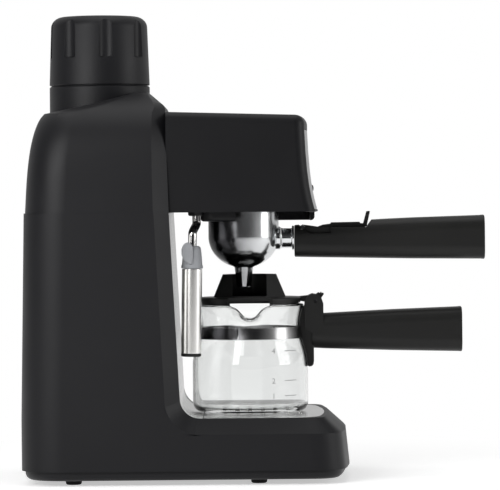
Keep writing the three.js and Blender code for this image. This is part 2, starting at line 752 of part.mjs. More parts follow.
const glandFace = towerRear(GLAND_Z);
const gland = cut(
  join(
    bar(GLAND_RADIUS, vec(0, -GLAND_LENGTH, 0), vec(0, 0, 0)),
    bar(GLAND_RADIUS + 2.5, vec(0, -WALL - FIT - 3, 0), vec(0, -WALL - FIT, 0)),
  ),
  bar(GLAND_BORE, vec(0, -FAR, 0), vec(0, FAR, 0), 8),
);
add(frameAt(GLAND_X, glandFace, GLAND_Z), 'cord_gland', 'blackRubber', gland);

const BLOCK_Z = PAN_FLOOR_Z + FIT;
const terminalBlock = cut(
  box(
    [-BLOCK_HALF[0], BLOCK_HALF[0]],
    [-BLOCK_HALF[1], BLOCK_HALF[1]],
    [0, BLOCK_HEIGHT],
  ),
  ...[-8, 0, 8].map((x) => bar(1.8, vec(x, 0, BLOCK_HEIGHT / 2), vec(x, 0, 20), 6)),
);
add(frameAt(0, BLOCK_Y, BLOCK_Z), 'terminal_block', 'whitePlastic', terminalBlock);

const leadZ = BLOCK_Z + BLOCK_HEIGHT / 2; // height at which the leads enter the block
const mainsLead = tube(
  new THREE.CatmullRomCurve3([
    vec(GLAND_X, glandFace - GLAND_LENGTH - FIT, GLAND_Z),
    vec(GLAND_X - 1, glandFace - GLAND_LENGTH - 12, GLAND_Z - 1),
    vec(GLAND_X - 14, BLOCK_Y + 2, leadZ + 2),
    vec(BLOCK_HALF[0] + 8, BLOCK_Y, leadZ),
    vec(BLOCK_HALF[0] + FIT, BLOCK_Y, leadZ),
  ]),
  LEAD_RADIUS,
  8,
);
add(machine, 'mains_lead', 'blackRubber', mainsLead);

// ---------------------------------------------------------------- upper housing

function upperHousing() {
  const collar = disc(COLLAR_RADIUS, SEAM_Z + 50, COLLAR_Z).translate([0, BOILER_Y, 0]);
  const shell = cut(join(upperForm(0, SEAM_Z), collar), upperForm(WALL, SEAM_Z - 5));
  const throat = disc(NECK_RADIUS + 3.5, SEAM_Z + 40, COLLAR_Z + 5, HIDDEN).translate([0, BOILER_Y, 0]);
  const window = box(
    [-WINDOW.half, WINDOW.half],
    [TOWER_FRONT_Y - 5, TOWER_FRONT_Y + 12],
    [WINDOW.low, WINDOW.high],
  );
  return cut(shell, throat, window);
}
add(machine, 'upper_housing', 'blackPlastic', upperHousing());

// ---------------------------------------------------------------- boiler

const boilerFrame = frameAt(0, BOILER_Y, 0);
const BOILER_TOP = BOILER_Z + BOILER_HEIGHT;
const NECK_TOP = COLLAR_Z - 1.6;
const NECK_BORE = NECK_RADIUS - NECK_WALL;

function boilerShell(inset) {
  const r = BOILER_RADIUS - inset;
  const neck = inset ? NECK_BORE : NECK_RADIUS;
  const top = inset ? NECK_TOP + 5 : NECK_TOP;
  const profile = [
    [0, BOILER_Z + inset],
    [r - 3, BOILER_Z + inset],
    [r, BOILER_Z + inset + 3],
    [r, BOILER_TOP - 14],
    [r - 2, BOILER_TOP - 8],
    [neck, BOILER_TOP - inset],
    [neck, top],
    [0, top],
  ];
  return turned(profile, HIDDEN);
}
const OUTLET_Z = BOILER_TOP - 22;
const outletStub = bar(
  4.5,
  vec(0, -BOILER_RADIUS + 1.5, OUTLET_Z),
  vec(0, -BOILER_RADIUS - 4, OUTLET_Z),
  8,
);
const boiler = cut(
  join(boilerShell(0), outletStub),
  boilerShell(BOILER_WALL),
  bar(2, vec(0, -BOILER_RADIUS + 8, OUTLET_Z), vec(0, -BOILER_RADIUS - 8, OUTLET_Z), 6),
);
add(boilerFrame, 'boiler', 'castAluminium', boiler);

add(
  boilerFrame,
  'neck_gasket',
  'redSilicone',
  ring(NECK_RADIUS + FIT, NECK_RADIUS + 3.5 - FIT, COLLAR_Z - 14, COLLAR_Z - 2, HIDDEN),
);

const strap = cut(
  join(
    ring(BOILER_RADIUS + FIT, BOILER_RADIUS + 2.5, STRAP_Z, STRAP_Z + 8, HIDDEN),
    box([-HALF + WALL + FIT, HALF - WALL - FIT], [-7, 7], [STRAP_Z, STRAP_Z + 2]),
  ),
  disc(BOILER_RADIUS + FIT, STRAP_Z - 1, STRAP_Z + 9, HIDDEN),
);
add(boilerFrame, 'boiler_strap', 'brightSteel', strap);

/** Sheathed element: most of a ring under the boiler, with both ends turned down. */
function heatingElement() {
  const z = BOILER_Z - FIT - ELEMENT_RADIUS;
  const at = (angle, drop) =>
    vec(ELEMENT_RING * Math.cos(angle), ELEMENT_RING * Math.sin(angle), z - drop);
  const gap = ELEMENT_GAP;
  const points = [at(gap, 26), at(gap, 12), at(gap + 0.12, 3)];
  for (let i = 1; i < 14; i += 1) points.push(at(gap + ((2 * Math.PI - 2 * gap) * i) / 14, 0));
  points.push(at(-gap - 0.12, 3), at(-gap, 12), at(-gap, 26));
  return tube(new THREE.CatmullRomCurve3(points), ELEMENT_RADIUS, 18, 6);
}
add(boilerFrame, 'heating_element', 'brightSteel', heatingElement());

const thermostat = join(
  disc(8, BOILER_Z - FIT - 7, BOILER_Z - FIT, 12),
  box([-12, 12], [-1.5, 1.5], [BOILER_Z - FIT - 1, BOILER_Z - FIT]),
  ...[-4, 4].map((x) => box([x - 0.4, x + 0.4], [-3, 3], [BOILER_Z - 17, BOILER_Z - 6])),
);
add(boilerFrame, 'thermostat', 'whitePlastic', thermostat);

const fuse = bar(
  FUSE_RADIUS,
  vec(-8, 11.6, BOILER_Z - FIT - FUSE_RADIUS),
  vec(8, 11.6, BOILER_Z - FIT - FUSE_RADIUS),
  12,
);
add(boilerFrame, 'thermal_fuse', 'whitePlastic', fuse);

const heaterLead = tube(
  new THREE.CatmullRomCurve3([
    vec(-BLOCK_HALF[0] - FIT, BLOCK_Y, leadZ),
    vec(-BLOCK_HALF[0] - 8, BLOCK_Y, leadZ),
    vec(-BLOCK_HALF[0] - 20, BLOCK_Y - 4, leadZ + 34),
    vec(0, BOILER_Y - 6, BOILER_Z - 62),
    vec(
      ELEMENT_RING * Math.cos(ELEMENT_GAP),
      BOILER_Y - ELEMENT_RING * Math.sin(ELEMENT_GAP),
      BOILER_Z - 31,
    ),
  ]),
  LEAD_RADIUS,
  12,
);
add(machine, 'heater_lead', 'blackRubber', heaterLead);

// ---------------------------------------------------------------- cap

const CAP_Z = COLLAR_Z + CAP_GAP;
const capFrame = frameAt(0, BOILER_Y, 0);

add(
  capFrame,
  'cap_gasket',
  'redSilicone',
  ring(NECK_BORE + FIT, NECK_RADIUS + 1, NECK_TOP + FIT, NECK_TOP + 1.8, HIDDEN),
);

/** Screw stopper: a plug in the neck, a sealing flange and a stem that the shell is pressed on. */
function capCore() {
  const plug = NECK_BORE - 2 * FIT;
  const flangeZ = NECK_TOP + 2.1;
  const stemTop = CAP_Z + CAP_HEIGHT - 10;
  const profile = [
    [0, NECK_TOP - 15],
    [plug - 1.5, NECK_TOP - 15],
    [plug, NECK_TOP - 13.5],
    [plug, flangeZ],
    [NECK_RADIUS + 3, flangeZ],
    [NECK_RADIUS + 3, flangeZ + 3],
    [12, flangeZ + 4],
    [12, stemTop],
    [0, stemTop],
  ];
  return cut(turned(profile, HIDDEN), disc(RELIEF_RADIUS + FIT, 0, stemTop + 5, 8));
}
add(capFrame, 'cap_core', 'castAluminium', capCore());

const reliefValve = turned(
  [
    [0, NECK_TOP - 13],
    [2, NECK_TOP - 13],
    [2.5, NECK_TOP - 8],
    [RELIEF_RADIUS, NECK_TOP - 8],
    [RELIEF_RADIUS, NECK_TOP + 14],
    [3, NECK_TOP + 17],
    [0, NECK_TOP + 17],
  ],
  8,
);
add(capFrame, 'relief_valve', 'brass', reliefValve);

/** Fluted screw cap: grip scallops round its upper part, bevelled top, hollow below. */
function capShell() {
  const top = CAP_Z + CAP_HEIGHT;
  const bevelZ = top - CAP_BEVEL;
  const outer = turned(
    [
      [0, CAP_Z],
      [COLLAR_RADIUS, CAP_Z],
      [CAP_TOP_RADIUS, bevelZ],
      [CAP_TOP_RADIUS - 1.2, bevelZ + 2.2],
      [CAP_TOP_RADIUS - 6, top - 1.2],
      [CAP_TOP_RADIUS - 12, top - 0.3],
      [0, top],
    ],
  );
  const hollow = turned([
    [0, CAP_Z - 5],
    [COLLAR_RADIUS - 3, CAP_Z - 5],
    [CAP_TOP_RADIUS - FLUTE_DEPTH - 2, bevelZ],
    [CAP_TOP_RADIUS - 8, top - 4],
    [0, top - 4],
  ]);
  const socket = cut(
    disc(15, CAP_Z + 12, top - 3, 16),
    disc(12 + FIT, 0, top - 10 + FIT, HIDDEN),
  );
  let body = cut(outer, hollow).add(socket);
  const centre = CAP_TOP_RADIUS + FLUTE_RADIUS - FLUTE_DEPTH;
  for (let i = 0; i < FLUTES; i += 1) {
    const angle = FLUTE_PHASE + (2 * Math.PI * i) / FLUTES;
    const flute = disc(FLUTE_RADIUS, top - CAP_BEVEL + 4 - FLUTE_HEIGHT, top + 5, 8);
    body = body.subtract(
      flute.translate([centre * Math.cos(angle), centre * Math.sin(angle), 0]),
    );
  }
  return body;
}
add(capFrame, 'cap_shell', 'blackPlastic', capShell());

// ---------------------------------------------------------------- brew head

const PLATE_LOW = SEAM_Z + FIT; // floor plate of the head
const PLATE_HIGH = PLATE_LOW + WALL;
const PANEL_BACK = HEAD_BOW + PANEL_SHEET; // flat back of the panel, behind its foremost point
const HEAD_WALL = PANEL_BACK + FIT + WALL; // front wall of the head, measured at its middle
const GROUP_OUTER = BOWL_RADIUS + LUG_REACH + 2.4; // casting round the bayonet

/** Middle of the head's front at a height: nearly upright at the top, kicked out at the lip. */
function headFront(z) {
  const t = clamp((PANEL_TOP_Z - z) / (PANEL_TOP_Z - SEAM_Z), 0, 1);
  return HEAD_FRONT_Y + (HEAD_LIP_Y - HEAD_FRONT_Y) * (0.35 * t + 0.65 * t ** 3.2);
}

/** Plan of the head: square at the tower, bowed in front with round corners. */
function headPlan(z, inset, frontInset, rear = null) {
  const nose = headFront(z) + frontInset;
  const side = HEAD_HALF - inset;
  const corner = Math.max(1, HEAD_CORNER - inset);
  const flat = side - corner;
  const shoulder = nose + HEAD_BOW + (2 * HEAD_BOW * corner) / flat;
  const back = rear ?? towerFront(SEAM_Z) + BROW_LEAN * (z - SEAM_Z) - FIT;
  const shape = new THREE.Shape();
  shape.moveTo(side, back);
  shape.lineTo(-side, back);
  shape.lineTo(-side, shoulder + corner);
  shape.quadraticCurveTo(-side, shoulder, -flat, nose + HEAD_BOW);
  shape.quadraticCurveTo(0, nose - HEAD_BOW, flat, nose + HEAD_BOW);
  shape.quadraticCurveTo(side, shoulder, side, shoulder + corner);
  return shape.getPoints(4);
}

/** The closed form of the head, or its hollow: a stack that rounds in at the top. */
function headForm(inset, frontInset, bottom, rear = null) {
  const top = HEAD_TOP_Z - inset;
  const straight = [bottom, PLATE_HIGH, SEAM_Z + 10, SEAM_Z + 22, top - TOP_EDGE];
  const levels = straight.map((z) => ({ z, points: headPlan(z, inset, frontInset, rear) }));
  for (const angle of [0.5, 1]) {
    const z = top - TOP_EDGE + TOP_EDGE * Math.sin(angle);
    const tuck = TOP_EDGE * (1 - Math.cos(angle));
    levels.push({ z, points: headPlan(z, inset + tuck, frontInset + tuck, rear) });
  }
  const [side, nose] = [inset + TOP_EDGE, frontInset + TOP_EDGE];
  levels.push({ z: top, points: headPlan(top, side, nose, rear) });
  const rise = (y, z) =>
    HEAD_RISE * (y - HEAD_FRONT_Y) * clamp((z - SEAM_Z - 22) / (top - SEAM_Z - 22), 0, 1);
  return loft(
    levels.map(({ z, points }) => points.map((p) => vec(p.x, p.y, z + rise(p.y, z)))),
    inPlan,
  );
}

/** The silver panel's form, bowed in front and flat behind. reach moves its front face forward. */
function panelForm(grow, reach) {
  const low = SEAM_Z + LIP_HEIGHT - grow;
  const levels = [0, 0.15, 0.32, 0.6, 1].map((t) => {
    const z = low + t * (PANEL_TOP_Z + grow - low);
    const nose = headFront(z);
    const half = PANEL_HALF + grow;
    const shape = new THREE.Shape();
    shape.moveTo(half, nose + PANEL_BACK + grow);
    shape.lineTo(-half, nose + PANEL_BACK + grow);
    shape.lineTo(-half, nose + HEAD_BOW - reach);
    shape.quadraticCurveTo(0, nose - HEAD_BOW - reach, half, nose + HEAD_BOW - reach);
    return { z, points: shape.getPoints(8) };
  });
  return stack(levels);
}

function headHousing() {
  const outer = headForm(0, 0, SEAM_Z);
  const hollow = headForm(WALL, HEAD_WALL, SEAM_Z - 5, TOWER_FRONT_Y + 20);
  const bed = panelForm(FIT, 10);
  const spindleHole = bar(
    SPINDLE_RADIUS + FIT * 2,
    vec(HEAD_HALF - 30, KNOB_Y, KNOB_Z),
    vec(FAR, KNOB_Y, KNOB_Z),
  );
  const lensHole = bar(LENS_RADIUS + FIT, vec(0, -FAR, LENS_Z), vec(0, 0, LENS_Z));
  return cut(outer, hollow, bed, spindleHole, lensHole);
}
add(machine, 'head_housing', 'headPlastic', headHousing());

add(
  machine,
  'front_panel',
  'silverPaint',
  cut(
    panelForm(0, 0),
    bar(LENS_RADIUS + FIT, vec(0, -FAR, LENS_Z), vec(0, 0, LENS_Z)),
  ),
);

const lensFront = headFront(LENS_Z);
const lensBack = lensFront + HEAD_WALL + FIT;
const lens = turned(
  [
    [0, 0],
    [LENS_RADIUS * 0.7, 0.35],
    [LENS_RADIUS, 1.1],
    [LENS_RADIUS, lensBack - lensFront],
    [0, lensBack - lensFront],
  ],
  16,
).rotate([-90, 0, 0]);
add(frameAt(0, lensFront - 1, LENS_Z), 'indicator_lens', 'redLens', lens);
const lampFront = lensBack - 1 + FIT;
const lampBack = BREW_Y - GROUP_OUTER - 1; // it ends just short of the group
const lamp = bar(LENS_RADIUS - 0.4, vec(0, lampFront, LENS_Z), vec(0, lampBack, LENS_Z));
add(machine, 'indicator_lamp', 'whitePlastic', lamp);

// ---------------------------------------------------------------- floor of the head

function headFloor() {
  const rear = towerFront(SEAM_Z) - 2 * FIT;
  const edge = headPlan(PLATE_HIGH, WALL + FIT, HEAD_WALL + FIT, rear);
  const plate = prism(new THREE.Shape(edge), PLATE_LOW, PLATE_HIGH);
  const rimPlan = (inset) =>
    roundedRectangle(
      [-CHIN_HALF + inset, CHIN_HALF - inset],
      [CHIN_FRONT_Y + inset, CHIN_REAR_Y - inset],
      10 - inset,
    );
  const rim = cut(
    join(
      prism(rimPlan(1.5), SEAM_Z - CHIN_DROP, SEAM_Z - FIT, 3),
      prism(rimPlan(0), SEAM_Z - CHIN_DROP + 2, SEAM_Z - FIT, 3),
      prism(rimPlan(0), SEAM_Z - 1, PLATE_LOW + 1, 3).intersect(
        prism(new THREE.Shape(edge), SEAM_Z - 1, PLATE_LOW + 1),
      ),
    ),
    prism(rimPlan(CHIN_WALL), 0, PLATE_LOW, 3),
    box([-FAR, CHIN_NOTCH_X], [-FAR, CHIN_NOTCH_Y], [0, PLATE_LOW]),
  );
  return cut(
    join(plate, rim),
    disc(GROUP_OUTER + FIT, 0, FAR).translate([0, BREW_Y, 0]),
    disc(BUSH_RADIUS + FIT, 0, FAR, 10).translate([WAND_X, WAND_Y, 0]),
  );
}
add(machine, 'head_floor', 'headPlastic', headFloor());

// ---------------------------------------------------------------- group

const groupFrame = frameAt(0, BREW_Y, SEAM_Z);
const RIM_Z = RIM_RISE;
const GASKET_LOW = RIM_Z + 2 * FIT + BASKET_ROLL;
const GASKET_HIGH = GASKET_LOW + GASKET_HEIGHT;
const GROUP_TOP = GASKET_HIGH + 12;
const PLATE_SEAT = PLATE_HIGH - SEAM_Z + FIT;

/** Cast group: water chamber, gasket seat and a bayonet ledge with two ways in for the lugs. */
function groupHead() {
  const groove = BOWL_RADIUS + LUG_REACH + 0.6;
  const body = turned([
    [0, GASKET_HIGH + FIT],
    [groove, GASKET_HIGH + FIT],
    [groove, LEDGE_HIGH],
    [BOWL_RADIUS + 0.7, LEDGE_HIGH],
    [BOWL_RADIUS + 0.7, LEDGE_LOW],
    [GROUP_OUTER, LEDGE_LOW],
    [GROUP_OUTER, PLATE_SEAT],
    [GROUP_OUTER + 6, PLATE_SEAT],
    [GROUP_OUTER + 6, PLATE_SEAT + 3],
    [GROUP_OUTER, PLATE_SEAT + 4],
    [GROUP_OUTER - 2, GROUP_TOP - 3],
    [GROUP_OUTER - 6, GROUP_TOP],
    [0, GROUP_TOP],
  ]);
  const chamber = disc(SCREEN_RADIUS - 2, GASKET_HIGH - 1, GASKET_HIGH + 4);
  const entries = [0, 180].map((degrees) => {
    const width = 2 * (LUG_HALF_WIDTH + 1);
    const way = box([BOWL_RADIUS - 2, groove], [-width / 2, width / 2], [-5, LEDGE_HIGH + 1]);
    return way.rotate([0, 0, degrees - LUG_TURN]);
  });
  return cut(
    body,
    chamber,
    disc(SCREW_RADIUS + FIT, 0, GROUP_TOP - 3, 8),
    bar(2, vec(8, 0, 0), vec(8, 0, GROUP_TOP + 5), 6),
    ...entries,
  );
}
add(groupFrame, 'group_head', 'castAluminium', groupHead());
add(
  groupFrame,
  'group_gasket',
  'blackRubber',
  ring(SCREEN_RADIUS + 1.2, BOWL_RADIUS + LUG_REACH, GASKET_LOW, GASKET_HIGH),
);

const SCREEN_LOW = GASKET_HIGH + FIT - 1.2;
const holesOn = (radius, count) =>
  Array.from({ length: count }, (_, i) => {
    const angle = (2 * Math.PI * i) / count;
    return [radius * Math.cos(angle), radius * Math.sin(angle)];
  });
const screen = cut(
  disc(SCREEN_RADIUS, SCREEN_LOW, SCREEN_LOW + 0.9),
  disc(SCREW_RADIUS + FIT, 0, 40, 8),
  ...[...holesOn(8, 4), ...holesOn(14, 6)].map(([x, y]) =>
    disc(0.9, 0, 40, 4).translate([x, y, 0]),
  ),
);
add(groupFrame, 'group_screen', 'brightSteel', screen);
const screenScrew = turned(
  [
    [0, SCREEN_LOW - 2],
    [3, SCREEN_LOW - 1.6],
    [3.4, SCREEN_LOW - FIT],
    [SCREW_RADIUS, SCREEN_LOW - FIT],
    [SCREW_RADIUS, SCREEN_LOW + 9],
    [0, SCREEN_LOW + 9],
  ],
  8,
);
add(groupFrame, 'screen_screw', 'brightSteel', screenScrew);

// ---------------------------------------------------------------- valve, knob and pipes

const VALVE_LOW = SEAM_Z + GROUP_TOP + FIT;
const VALVE_HIGH = VALVE_LOW + 24;
const valveFrame = frameAt(0, BREW_Y, 0);
const bore = bar(
  SPINDLE_RADIUS + FIT,
  vec(4, KNOB_Y - BREW_Y, KNOB_Z),
  vec(VALVE_HALF + 20, KNOB_Y - BREW_Y, KNOB_Z),
);
const valveBody = cut(
  join(
    box([-VALVE_HALF, VALVE_HALF], [-VALVE_HALF, VALVE_HALF], [VALVE_LOW, VALVE_HIGH]),
    bar(7, vec(VALVE_HALF - 1, 0, KNOB_Z), vec(VALVE_HALF + 8, 0, KNOB_Z), 12),
  ),
  bore,
);
add(valveFrame, 'valve_body', 'brass', valveBody);

const knobInner = HEAD_HALF + FIT;
const spindle = join(
  bar(SPINDLE_RADIUS, vec(4 + FIT, KNOB_Y, KNOB_Z), vec(knobInner + 7, KNOB_Y, KNOB_Z)),
  bar(SPINDLE_RADIUS + 2, vec(50, KNOB_Y, KNOB_Z), vec(56, KNOB_Y, KNOB_Z)),
);
add(machine, 'valve_spindle', 'brightSteel', spindle);

/** Rotary knob: a skirt, a domed face and a raised grip bar that also points to the setting. */
function selectorKnob() {
  const body = turned(
    [
      [0, 0],
      [KNOB_RADIUS - 1, 0],
      [KNOB_RADIUS, 1],
      [KNOB_RADIUS - 0.6, KNOB_LENGTH * 0.45],
      [KNOB_RADIUS - 2, KNOB_LENGTH * 0.55],
      [0, KNOB_LENGTH * 0.6],
    ],
  );
  const grip = prism(
    roundedRectangle([-4, 4], [-KNOB_RADIUS + 2, KNOB_RADIUS - 2], 3.9),
    KNOB_LENGTH * 0.3,
    KNOB_LENGTH,
    4,
  );
  return cut(join(body, grip), disc(SPINDLE_RADIUS + FIT, -5, 7 + FIT, 10)).rotate([0, 90, 0]);
}
add(frameAt(knobInner, KNOB_Y, KNOB_Z), 'selector_knob', 'handlePlastic', selectorKnob());

const microswitch = join(
  box([-10, 10], [-4, 4], [0, 10]),
  box([-7, -6], [-3, 3], [9, 15]),
  box([6, 7], [-3, 3], [9, 15]),
);
add(frameAt(0, BREW_Y, VALVE_HIGH + FIT), 'microswitch', 'whitePlastic', microswitch);

const VALVE_PORT_Z = VALVE_LOW + 14;
const outletPipe = tube(
  new THREE.CatmullRomCurve3([
    vec(0, BOILER_Y - BOILER_RADIUS - 4 - FIT, OUTLET_Z),
    vec(0, TOWER_FRONT_Y - 4, OUTLET_Z),
    vec(0, BREW_Y + VALVE_HALF + 16, VALVE_PORT_Z + 1),
    vec(0, BREW_Y + VALVE_HALF + FIT, VALVE_PORT_Z),
  ]),
  PIPE_RADIUS,
  7,
);
add(machine, 'outlet_pipe', 'brightSteel', outletPipe);

const BUSH_TOP = SEAM_Z + 10;
const steamPipe = tube(
  new THREE.CatmullRomCurve3([
    vec(-VALVE_HALF - FIT, BREW_Y, VALVE_PORT_Z),
    vec(-VALVE_HALF - 12, BREW_Y, VALVE_PORT_Z),
    vec(WAND_X + 3, WAND_Y - 12, VALVE_PORT_Z - 2),
    vec(WAND_X, WAND_Y, BUSH_TOP + 12),
    vec(WAND_X, WAND_Y, BUSH_TOP + FIT),
  ]),
  PIPE_RADIUS,
  10,
);
add(machine, 'steam_pipe', 'brightSteel', steamPipe);

// ---------------------------------------------------------------- steam wand

const wandFrame = frameAt(WAND_X, WAND_Y, 0);
const bushing = cut(
  turned(
    [
      [0, SEAM_Z - 3],
      [BUSH_RADIUS - 1, SEAM_Z - 3],
      [BUSH_RADIUS, SEAM_Z - 2],
      [BUSH_RADIUS, PLATE_HIGH + FIT],
      [BUSH_RADIUS + 3, PLATE_HIGH + FIT],
      [BUSH_RADIUS + 3, PLATE_HIGH + 3],
      [BUSH_RADIUS, PLATE_HIGH + 4],
      [BUSH_RADIUS - 1, BUSH_TOP],
      [0, BUSH_TOP],
    ],
    10,
  ),
  disc(WAND_RADIUS + FIT, 0, BUSH_TOP - 3, 12),
  disc(WAND_BORE, 0, BUSH_TOP + 5, 8),
);
add(wandFrame, 'wand_bushing', 'blackPlastic', bushing);

/** Wand tube: straight down from the bushing, an S-bend outwards, then down inside the sleeve. */
function wandTube(radius, extra, sides) {
  const [dx, dy] = [SLEEVE_X - WAND_X, SLEEVE_Y - WAND_Y];
  const bendHigh = vec(0, 0, SEAM_Z - 4);
  const bendLow = vec(dx, dy, SEAM_Z - 25);
  const down = vec(0, Math.sin(SLEEVE_LEAN), -Math.cos(SLEEVE_LEAN));
  const end = bendLow.clone().addScaledVector(down, 55 + extra);
  const path = new THREE.CurvePath();
  path.add(new THREE.LineCurve3(vec(0, 0, BUSH_TOP - 3 - FIT + extra), bendHigh));
  path.add(
    new THREE.CubicBezierCurve3(
      bendHigh,
      vec(0, 0, SEAM_Z - 17),
      bendLow.clone().addScaledVector(down, -13),
      bendLow,
    ),
  );
  path.add(new THREE.LineCurve3(bendLow, end));
  return tube(path, radius, 13, sides);
}
const wand = cut(wandTube(WAND_RADIUS, 0, 8), wandTube(WAND_BORE, 2, 4));
add(wandFrame, 'steam_wand', 'chrome', wand);

// The frother is modelled upright about the wand's lower end and leans with it.
const frother = frameAt(SLEEVE_X, SLEEVE_Y, SEAM_Z - 25);
frother.rotation.x = SLEEVE_LEAN;
const sleeveTop = SLEEVE_TOP_Z - (SEAM_Z - 25);

/** Silicone grip: a tapered boot over the tube, with a leaf-shaped finger tab on its side. */
function frothGrip() {
  const boot = turned(
    [
      [0, sleeveTop - 7],
      [SLEEVE_RADIUS - SLEEVE_WALL - FIT, sleeveTop - 7],
      [SLEEVE_RADIUS - SLEEVE_WALL - FIT, sleeveTop + FIT],
      [SLEEVE_RADIUS + 0.7, sleeveTop + FIT],
      [SLEEVE_RADIUS + 0.5, sleeveTop + 3],
      [SLEEVE_RADIUS - 0.7, sleeveTop + GRIP_HEIGHT - 4],
      [SLEEVE_RADIUS - 2, sleeveTop + GRIP_HEIGHT - 1.2],
      [0, sleeveTop + GRIP_HEIGHT - 1],
    ],
    16,
  );
  const leaf = new THREE.Shape();
  leaf.moveTo(0, sleeveTop + 3);
  leaf.quadraticCurveTo(7.6, sleeveTop + 6, 7.6, sleeveTop + GRIP_HEIGHT - 4);
  leaf.quadraticCurveTo(7, sleeveTop + GRIP_HEIGHT + 2, 2, sleeveTop + GRIP_HEIGHT + 1.5);
  leaf.quadraticCurveTo(-1, sleeveTop + GRIP_HEIGHT, -1, sleeveTop + GRIP_HEIGHT - 4);
  const tab = slab(leaf, -SLEEVE_RADIUS - 1.4, -SLEEVE_RADIUS + 1.6, 5);
  return cut(join(boot, tab), disc(WAND_RADIUS + FIT, -60, 20, 12));
}
add(frother, 'froth_grip', 'greySilicone', frothGrip());
add(
  frother,
  'froth_sleeve',
  'chrome',
  ring(SLEEVE_RADIUS - SLEEVE_WALL, SLEEVE_RADIUS, sleeveTop - SLEEVE_LENGTH, sleeveTop, 16),
);

// ---------------------------------------------------------------- filter holder

const holder = frameAt(0, BREW_Y, SEAM_Z);
const BOWL_FLOOR = -BOWL_STRAIGHT - BOWL_ROUND;
const TIP_Z = BOWL_FLOOR - SPOUT_LENGTH;

/** Quarter-ellipse profile of the bowl, from the straight wall down to the neck. */
function bowlCurve(radius, height, neck, steps) {
  const points = [];
  const last = Math.acos(neck / radius);
  for (let i = 0; i <= steps; i += 1) {
    const angle = (last * i) / steps;
    points.push([radius * Math.cos(angle), -BOWL_STRAIGHT - height * Math.sin(angle)]);
  }
  return points;
}

function filterBowl() {
  const outside = turned([
    [0, RIM_Z],
    [BOWL_RADIUS, RIM_Z],
    ...bowlCurve(BOWL_RADIUS, BOWL_ROUND, SPOUT_RADIUS + 1.2, 5),
    [SPOUT_RADIUS, BOWL_FLOOR - 1.5],
    [SPOUT_RADIUS, BOWL_FLOOR - 4],
    [SPOUT_RADIUS - 1.4, TIP_Z],
    [0, TIP_Z],
  ]);
  const inside = turned([
    [0, RIM_Z + 5],
    [BOWL_RADIUS - BOWL_WALL, RIM_Z + 5],
    ...bowlCurve(BOWL_RADIUS - BOWL_WALL, BOWL_ROUND - 4, SPOUT_BORE, 3),
    [SPOUT_BORE, TIP_Z - 5],
    [0, TIP_Z - 5],
  ]);
  const reach = BOWL_RADIUS + LUG_REACH;
  const lugs = box(
    [-reach, reach],
    [-LUG_HALF_WIDTH, LUG_HALF_WIDTH],
    [LEDGE_HIGH + FIT, LEDGE_HIGH + FIT + LUG_HEIGHT],
  ).intersect(disc(reach, 0, 20));
  const boss = bar(
    FERRULE_RADIUS + 1.3,
    vec(0, -BOWL_RADIUS + 6, -HANDLE_DROP),
    vec(0, -HANDLE_START + FERRULE_LENGTH + FIT, -HANDLE_DROP),
    16,
  );
  return cut(join(outside, lugs, boss), inside);
}
add(holder, 'filter_bowl', 'castAluminium', filterBowl());

const BASKET_RADIUS = BOWL_RADIUS - BOWL_WALL - FIT;
const basketHoles = [...holesOn(5, 4), ...holesOn(11, 6)];
const basketTop = RIM_Z + FIT + BASKET_ROLL;
const basket = cut(
  turned([
    [0, basketTop - BASKET_DEPTH],
    [BASKET_RADIUS - 3, basketTop - BASKET_DEPTH],
    [BASKET_RADIUS - 0.6, basketTop - BASKET_DEPTH + 3],
    [BASKET_RADIUS - 0.2, RIM_Z + FIT],
    [BOWL_RADIUS, RIM_Z + FIT],
    [BOWL_RADIUS, basketTop],
    [BASKET_RADIUS - BASKET_SHEET - 0.2, basketTop],
    [BASKET_RADIUS - BASKET_SHEET - 0.6, basketTop - BASKET_DEPTH + 3.2],
    [BASKET_RADIUS - 3.4, basketTop - BASKET_DEPTH + BASKET_SHEET],
    [0, basketTop - BASKET_DEPTH + BASKET_SHEET],
  ]),
  ...basketHoles.map(([x, y]) => disc(0.8, -30, 0, 4).translate([x, y, 0])),
);
add(holder, 'filter_basket', 'brightSteel', basket);

const ferrule = turned(
  [
    [0, 0],
    [FERRULE_RADIUS - 0.6, 0],
    [FERRULE_RADIUS, 1],
    [FERRULE_RADIUS, FERRULE_LENGTH - 2],
    [FERRULE_RADIUS + 1.5, FERRULE_LENGTH - 1.4],
    [FERRULE_RADIUS + 1.5, FERRULE_LENGTH - FIT],
    [0, FERRULE_LENGTH - FIT],
  ],
  16,
).rotate([90, 0, 0]);
add(
  frameAt(0, -HANDLE_START + FERRULE_LENGTH, -HANDLE_DROP, holder),
  'handle_ferrule',
  'castAluminium',
  ferrule,
);

/** A moulded grip along -Y: superellipse sections, each [distance, lowest z, highest z]. */
function grip(stations, slimness, exponent = 2.5, sides = 12) {
  const rings = stations.map(([distance, low, high]) =>
    Array.from({ length: sides }, (_, i) => {
      const angle = (2 * Math.PI * i) / sides;
      const [c, s] = [Math.cos(angle), Math.sin(angle)];
      const bulge = (v) => Math.sign(v) * Math.abs(v) ** (2 / exponent);
      const half = (high - low) / 2;
      return vec(half * slimness * bulge(c), -distance, (low + high) / 2 + half * bulge(s));
    }),
  );
  return loft(rings, inFrontView);
}

/** A bar on the retainer's pivot axis. */
const retainerAxle = (radius, half) =>
  bar(radius, vec(-half, -LEVER_PIVOT, LEVER_PIVOT_Z), vec(half, -LEVER_PIVOT, LEVER_PIVOT_Z), 10);

